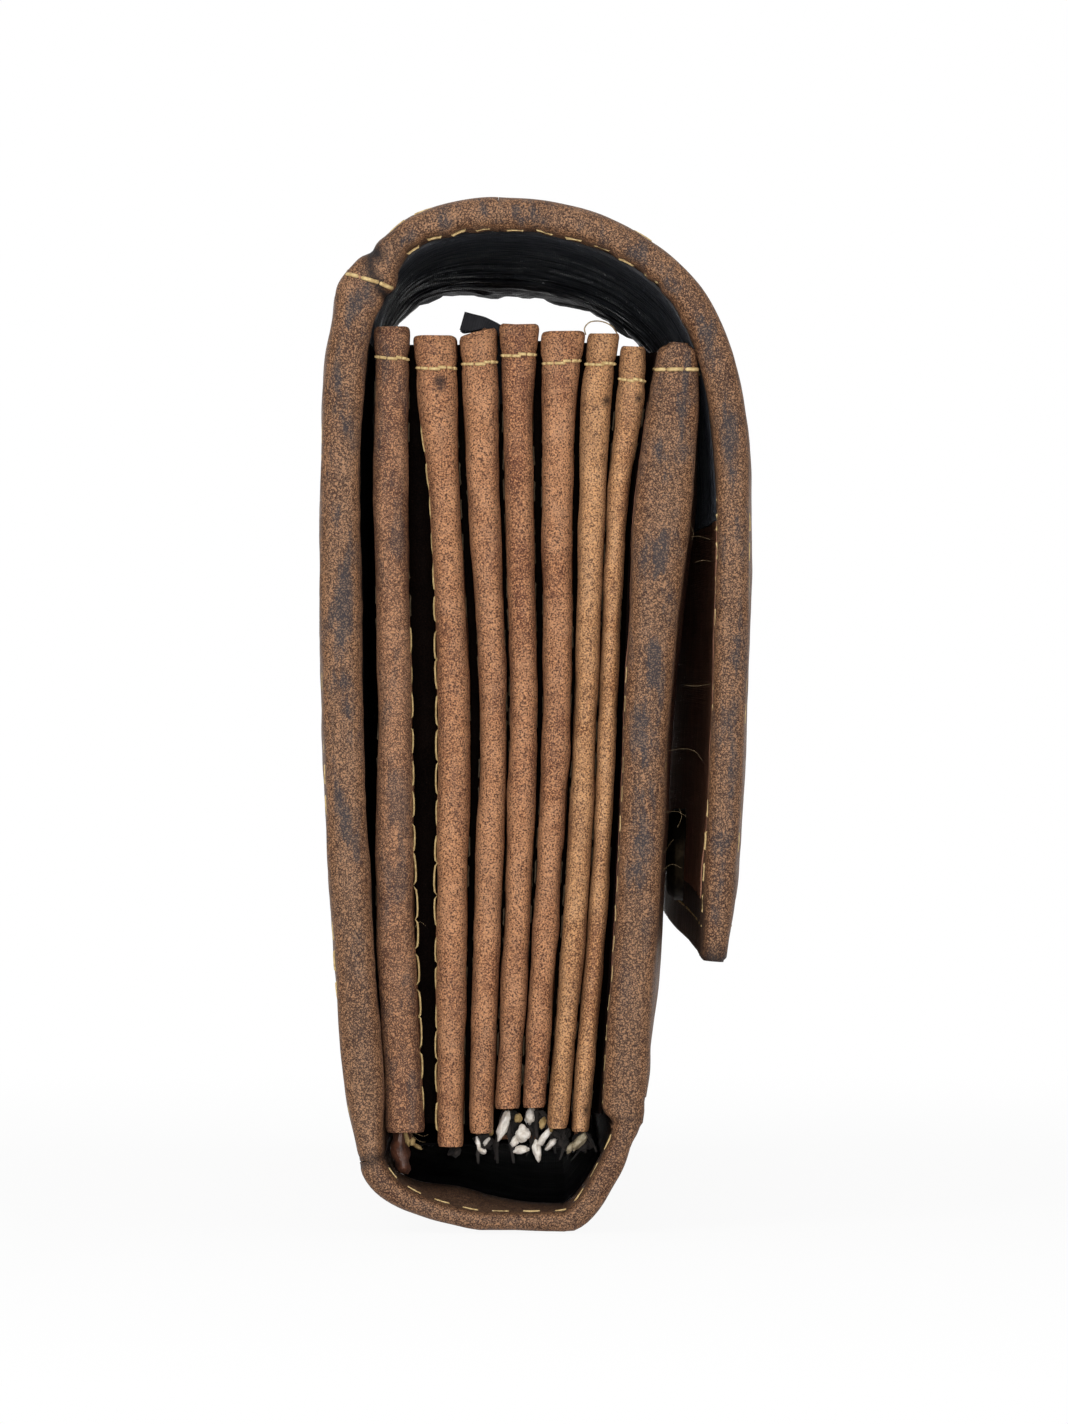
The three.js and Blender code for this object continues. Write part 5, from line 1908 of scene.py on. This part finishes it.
class LooseEnds:
    """Dried glue, frayed lining, leather tail, hairs and threads at the near end."""

    def __init__(self) -> None:
        """Seeds the draws."""
        self.draw = random.Random(77)

    def lump(self, bm: Shape, centre: Vector, size: Triple, tilt: float,
             fine: int = 3) -> None:
        """Adds an uneven lump.

        Args:
            bm: the piece that it belongs to.
            centre: its middle.
            size: half its size along each axis.
            tilt: its turn about Y in degrees.
            fine: rounds of subdivision.
        """
        made = bmesh.ops.create_icosphere(bm, subdivisions=fine, radius=1.0)
        turn = Matrix.Rotation(math.radians(tilt), 3, "Y")
        seed = Vector((self.draw.uniform(0, 40), self.draw.uniform(0, 40), 0.0))
        for v in made["verts"]:
            swell = 1 + 0.35 * noise.noise(v.co * 1.4 + seed) + 0.16 * noise.noise(v.co * 4 + seed)
            shape = Vector((v.co.x * size[0], v.co.y * size[1], v.co.z * size[2])) * swell
            v.co = centre + turn @ shape

    def glue(self) -> None:
        """Dried glue under the pleats."""
        rows = (
            ("glue_coin", "coin_pocket", Finish.GLUE,
             ((-3.2, -88.6, 10.5, 0.5, 0.7, 1.5, 18), (-0.5, -88.0, 11.4, 0.55, 0.8, 0.9, 8),
              (-1.2, -88.9, 9.7, 0.75, 0.8, 0.8, 0), (-1.4, -88.6, 8.1, 0.8, 0.7, 0.42, -8),
              (-2.0, -88.2, 8.9, 0.4, 0.6, 0.6, 30))),
            ("glue_leaf_5", "leaf_5", Finish.GLUE,
             ((0.9, -88.6, 9.3, 0.36, 0.7, 1.25, 36), (0.2, -88.6, 8.0, 0.42, 0.6, 1.05, -10),
              (1.6, -88.0, 8.6, 0.3, 0.6, 0.7, 40))),
            ("glue_leaf_6", "leaf_6", Finish.OLD_GLUE,
             ((4.5, -88.7, 8.9, 0.46, 0.6, 1.1, 42), (3.6, -88.6, 8.3, 0.3, 0.6, 0.7, 30))),
            ("glue_leaf_3", "coin_pocket", Finish.GLUE,
             ((-5.7, -88.7, 8.7, 0.26, 0.5, 0.7, -10), (-5.3, -88.6, 8.0, 0.5, 0.5, 0.3, 30),
              (-4.9, -88.4, 8.9, 0.24, 0.5, 0.5, 40))),
            ("scraps_coin", "coin_pocket", Finish.SCRAP,
             ((-1.7, -88.9, 11.3, 0.4, 0.5, 0.5, 20), (-4.4, -88.6, 9.9, 0.24, 0.5, 0.4, 0))),
            ("scraps_leaf_5", "leaf_5", Finish.SCRAP,
             ((0.8, -89.0, 10.8, 0.34, 0.5, 0.6, 24), (1.55, -88.6, 10.1, 0.28, 0.5, 0.3, -20))),
            ("scraps_foot", "cover", Finish.SCRAP,
             ((-12.9, -88.6, 9.3, 0.26, 0.4, 0.85, -12), (-11.9, -88.2, 8.4, 0.62, 0.3, 0.2, 28),
              (-12.3, -88.8, 8.9, 0.3, 0.3, 0.4, 15))),
        )
        for name, body, finish, lumps in rows:
            bm = bmesh.new()
            for x, y, z, a, b, c, tilt in lumps:
                self.lump(bm, Vector((x + SHIFT, y, z)), (a, b, c), tilt)
            finished(bm, name, finish, "pleat_leather", body)

    def strip(self, bm: Shape, start: Vector, end: Vector, width: float,
              thick: float) -> None:
        """Adds a ragged strip.

        Args:
            bm: the piece that it belongs to.
            start: where it is broad.
            end: where it runs out.
            width: how broad it is.
            thick: half its thickness.
        """
        along = end - start
        side = Vector((0, 1, 0)).cross(along).normalized()
        swing = self.draw.uniform(-0.5, 0.5)
        part = bmesh.ops.create_grid(bm, x_segments=7, y_segments=6, size=0.5)
        for v in part["verts"]:
            t, a = v.co.x + 0.5, 2 * math.pi * (v.co.y + 0.5)
            ragged = (1.02 - 0.7 * t) * (1 + 0.5 * noise.noise(Vector((t * 5, a, start.x))))
            core = start + along * t + side * (swing * math.sin(3 * t))
            v.co = core + side * (0.5 * width * ragged * math.cos(a))
            v.co.y += thick * ragged * math.sin(a)
        bmesh.ops.remove_doubles(bm, verts=part["verts"], dist=WELD)

    def fray(self) -> None:
        """Frayed ends of the lining that hang from the feet of the pleats."""
        feet = (("leaf_2", -8.4, 8.5, 4, 0), ("coin_pocket", -5.2, 9.6, 12, 5),
                ("coin_pocket", -2.6, 12.0, 22, 8), ("leaf_5", 0.1, 12.1, 24, 8),
                ("leaf_6", 2.6, 10.2, 18, 6), ("front", 4.8, 9.8, 9, 3))
        for index, (body, x, z, lumps, strips) in enumerate(feet):
            bm = bmesh.new()
            for _ in range(lumps):
                size = (self.draw.uniform(0.3, 0.7), 0.5, self.draw.uniform(0.2, 0.5))
                self.lump(bm, Vector((x + SHIFT + self.draw.uniform(-0.65, 0.65),
                                      self.draw.uniform(-88.0, -85.5),
                                      z - self.draw.uniform(0.3, 0.3 * z - 1.4))),
                          size, self.draw.uniform(-60, 60), 2)
            for _ in range(strips):
                start = Vector((x + SHIFT + self.draw.uniform(-0.5, 0.5),
                                self.draw.uniform(-88.6, -85.5), z - 0.1))
                drop = self.draw.uniform(2.0, 5.4) * (1 if z > 11 else 0.62)
                end = start + Vector((self.draw.uniform(-1.2, 1.2), self.draw.uniform(-0.6, 0.6),
                                      -drop))
                end.z = max(end.z, 5.6)
                self.strip(bm, start, end, self.draw.uniform(0.2, 0.7), 0.14)
            finished(bm, f"fray_{index + 1}", Finish.FRAY, "pleat_leather", body)

    def tail(self) -> None:
        """Leather tail of the first pleat that runs down to the corner of the base."""
        line = bend(at(-13.3, 10.6), at(-14.0, 8.2), at(-13.0, 5.6), 24)
        course = Course(line, 1)
        stops = spaced(0.0, course.length, 0.3)
        turns = 14

        def place(s: float, j: int) -> Vector:
            """Point along the tail and round it."""
            a = 2 * math.pi * j / turns
            wide = 0.8 + 0.12 * noise.noise(Vector((s, 0, 1)))
            end = math.sqrt(max(1 - ease(s, course.length - 0.7, course.length) ** 2, 0.05))
            return course.on(s, wide * end * math.cos(a), -87.6 + 1.7 * end * math.sin(a))

        bm = gridded(stops, range(turns + 1), place)
        close(bm)
        Crumple(0.5, 1.4, 2.0).press(bm)
        finished(bm, "pleat_tail", Finish.TAIL, "pleat_leather", "cover")

    def strand(self, bm: Shape, points: Sequence[Vector], radius: float) -> None:
        """Adds a thin strand.

        Args:
            bm: the piece that it belongs to.
            points: what it runs through.
            radius: of the strand.
        """
        sides = 5
        count = 6 * (len(points) - 1)
        part = bmesh.ops.create_grid(bm, x_segments=count, y_segments=sides, size=0.5)
        last = len(points) - 1

        def core(t: float) -> Vector:
            """The middle of the strand, t points along it."""
            k = min(int(t), last - 1)
            u = t - k
            p = [points[min(max(k + d, 0), last)] for d in (-1, 0, 1, 2)]
            return 0.5 * (2 * p[1] + (p[2] - p[0]) * u
                          + (2 * p[0] - 5 * p[1] + 4 * p[2] - p[3]) * u ** 2
                          + (3 * p[1] - p[0] - 3 * p[2] + p[3]) * u ** 3)

        for v in part["verts"]:
            t = (v.co.x + 0.5) * last
            a = 2 * math.pi * round((v.co.y + 0.5) * sides) / sides
            along = (core(min(t + 0.05, last)) - core(max(t - 0.05, 0))).normalized()
            side = along.cross(Vector((0.2, 1, 0.1))).normalized()
            v.co = core(t) + (side * math.cos(a) + along.cross(side) * math.sin(a)) * radius

    def strands(self) -> None:
        """Loose thread over the sixth leaf and the fine hairs by the flap and at the foot."""
        bm = bmesh.new()
        loop = ((5.1, 90.0), (5.0, 90.7), (5.6, 91.3), (6.7, 91.35), (7.7, 90.9), (8.3, 90.1))
        points = [Vector((x + SHIFT, -88.5 + 0.3 * k, z)) for k, (x, z) in enumerate(loop)]
        self.strand(bm, points, 0.07)
        close(bm)
        finished(bm, "loose_thread", Finish.FIBRE, "pleat_leather", "leaf_6")
        rows = (
            ("hairs_front", "front",
             (((13.3, 48.2), (15.0, 48.4), (16.1, 48.1), (16.8, 47.2)),
              ((13.0, 42.0), (14.2, 42.1), (15.2, 41.6)),
              ((14.5, 42.4), (14.7, 41.5), (14.3, 40.5)),
              ((12.9, 37.9), (13.5, 38.8), (13.9, 39.3)),
              ((12.7, 36.1), (13.7, 36.8), (14.7, 36.4)))),
            ("hairs_flap", "flap_front",
             (((15.6, 70.9), (15.9, 70.0), (15.7, 69.3)),
              ((15.6, 69.7), (16.5, 69.7), (17.6, 69.4)),
              ((16.1, 67.1), (16.8, 67.3), (17.7, 67.2)),
              ((15.0, 54.8), (16.2, 54.7), (17.6, 54.9)))),
            ("hairs_foot", "cover",
             (((-12.6, 9.9), (-11.6, 9.0), (-11.0, 8.9)),
              ((-12.4, 9.6), (-11.9, 8.6), (-11.2, 8.2)),
              ((-12.2, 9.9), (-11.2, 9.5), (-10.7, 9.7)),
              ((-12.4, 30.0), (-11.6, 31.0), (-11.0, 30.6)))),
        )
        for name, body, hairs in rows:
            bm = bmesh.new()
            for hair in hairs:
                points = [Vector((x + SHIFT, -90.4 + 0.4 * k, z)) for k, (x, z) in enumerate(hair)]
                self.strand(bm, points, 0.009)
            close(bm)
            finished(bm, name, Finish.FIBRE, "pleat_leather", body)

    def build(self) -> None:
        """Makes everything that hangs loose."""
        self.glue()
        self.fray()
        self.tail()
        self.strands()


# Studio


class Studio:
    """Camera at the photograph's place, soft lights and a white surround."""

    LENS = 252.0
    SENSOR = 36.0
    MIDDLE = -0.17  # where the camera stands across the wallet
    AWAY = 998.0  # from the near end to the camera
    EYE = 57.9  # height of the camera
    AIM = 52.1  # height that it looks at

    def camera(self) -> None:
        """A long lens square to the near end of the wallet."""
        data = bpy.data.cameras.new("camera")
        data.lens, data.sensor_width = self.LENS, self.SENSOR
        data.clip_start, data.clip_end = 0.01, 50.0
        camera = bpy.data.objects.new("camera", data)
        bpy.context.scene.collection.objects.link(camera)
        place = Vector((self.MIDDLE, -HALF - self.AWAY, self.EYE)) * MM
        target = Vector((self.MIDDLE, -HALF, self.AIM)) * MM
        camera.location = place
        camera.rotation_euler = (target - place).to_track_quat("-Z", "Y").to_euler()
        bpy.context.scene.camera = camera

    def lamp(self, name: str, place: Triple, size: float, power: float) -> None:
        """Adds a square soft lamp that faces the wallet and isn't seen itself.

        Args:
            name: the lamp's name.
            place: where it stands, in metres.
            size: how wide it is, in metres.
            power: in watts.
        """
        data = bpy.data.lights.new(name, "AREA")
        data.size, data.energy = size, power
        lamp = bpy.data.objects.new(name, data)
        lamp.location = place
        lamp.visible_camera = False
        way = Vector((0.0, 0.0, 0.05)) - Vector(place)
        lamp.rotation_euler = way.to_track_quat("-Z", "Y").to_euler()
        bpy.context.scene.collection.objects.link(lamp)

    def looked_at(self, tree: bpy.types.NodeTree) -> Socket:
        """Tells where the background is looked at: straight, mirrored or through glass.

        Args:
            tree: the nodes that ask.

        Returns:
            1 where it is looked at, else 0.
        """
        path = tree.nodes.new("ShaderNodeLightPath")
        seen = path.outputs["Is Camera Ray"]
        for kind in ("Is Glossy Ray", "Is Transmission Ray"):
            either = tree.nodes.new("ShaderNodeMath")
            either.operation = "MAXIMUM"
            tree.links.new(seen, either.inputs[0])
            tree.links.new(path.outputs[kind], either.inputs[1])
            seen = either.outputs[0]
        return seen

    def surround(self) -> None:
        """White to the camera and in reflections, softer as a light."""
        world = bpy.data.worlds.new("surround")
        world.use_nodes = True
        nodes, links = world.node_tree.nodes, world.node_tree.links
        sky = nodes["Background"]
        sky.inputs["Color"].default_value = (1, 1, 1, 1)
        strength = nodes.new("ShaderNodeMapRange")
        strength.inputs["To Min"].default_value = 0.27
        links.new(self.looked_at(world.node_tree), strength.inputs["Value"])
        links.new(strength.outputs["Result"], sky.inputs["Strength"])
        bpy.context.scene.world = world

    def floor(self) -> None:
        """A white floor that keeps a faint shadow."""
        bm = bmesh.new()
        bmesh.ops.create_grid(bm, x_segments=4, y_segments=4, size=3.0)
        mesh = bpy.data.meshes.new("floor")
        bm.to_mesh(mesh)
        bm.free()
        floor = bpy.data.objects.new("floor", mesh)
        floor.location.z = -0.0002
        s = Shader("white_floor")
        s.set("Base Color", (0.9, 0.9, 0.9, 1))
        s.set("Roughness", 0.9)
        reach = s.node("ShaderNodeVectorMath", {0: s.place})
        reach.operation = "LENGTH"
        whiter = s.levels(reach.outputs["Value"], 100.0, 300.0, 0.93, 1.0)
        share = s.math("MULTIPLY", self.looked_at(s.material.node_tree), whiter)
        glow = s.nodes.new("ShaderNodeEmission")
        mix = s.node("ShaderNodeMixShader",
                     {0: share, 1: s.skin.outputs[0], 2: glow.outputs[0]})
        s.links.new(mix.outputs[0], s.nodes["Material Output"].inputs["Surface"])
        mesh.materials.append(s.material)
        bpy.context.scene.collection.objects.link(floor)

    def build(self) -> None:
        """Sets up the picture."""
        bpy.context.scene.view_settings.view_transform = "Standard"
        self.camera()
        self.surround()
        self.floor()
        self.lamp("key", (-0.6, -0.95, 0.75), 0.6, 5.0)
        self.lamp("fill", (0.8, -0.8, 0.35), 0.8, 1.8)
        self.lamp("front", (-0.06, -1.3, 0.12), 0.35, 6.6)
        self.lamp("eye", (0.0, -1.3, 0.07), 0.08, 2.3)
        self.lamp("top", (0.1, 0.25, 1.0), 0.8, 1.9)
        self.lamp("behind", (0.0, 0.75, 0.06), 0.35, 1.1)


def dress_solids() -> None:
    """Gives the solids that stay their finishes."""
    rows = (("zip_pull", Finish.BRASS), ("back_board", Finish.BOARD),
            ("front_board", Finish.BOARD), ("flap_front_board", Finish.BOARD))
    for name, finish in rows:
        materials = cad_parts[name].data.materials
        materials.clear()
        materials.append(finish.material)


def main() -> None:
    """Builds the wallet piece by piece."""
    logging.basicConfig(level=logging.INFO, format="%(name)s %(message)s")
    Studio().build()
    edges = tuple(Profile(ROWS, [x + SHIFT for x in face]) for face in FRONT_FACES)
    cover = Cover(edges)
    cover.build()
    accordion = Accordion(edges[0])
    accordion.build()
    Zip(accordion.leaves[2], accordion.leaves[3]).build()
    PressStud(cover.front_face(PressStud.height)).build()
    LooseEnds().build()
    dress_solids()


if __name__ == "__main__":
    main()
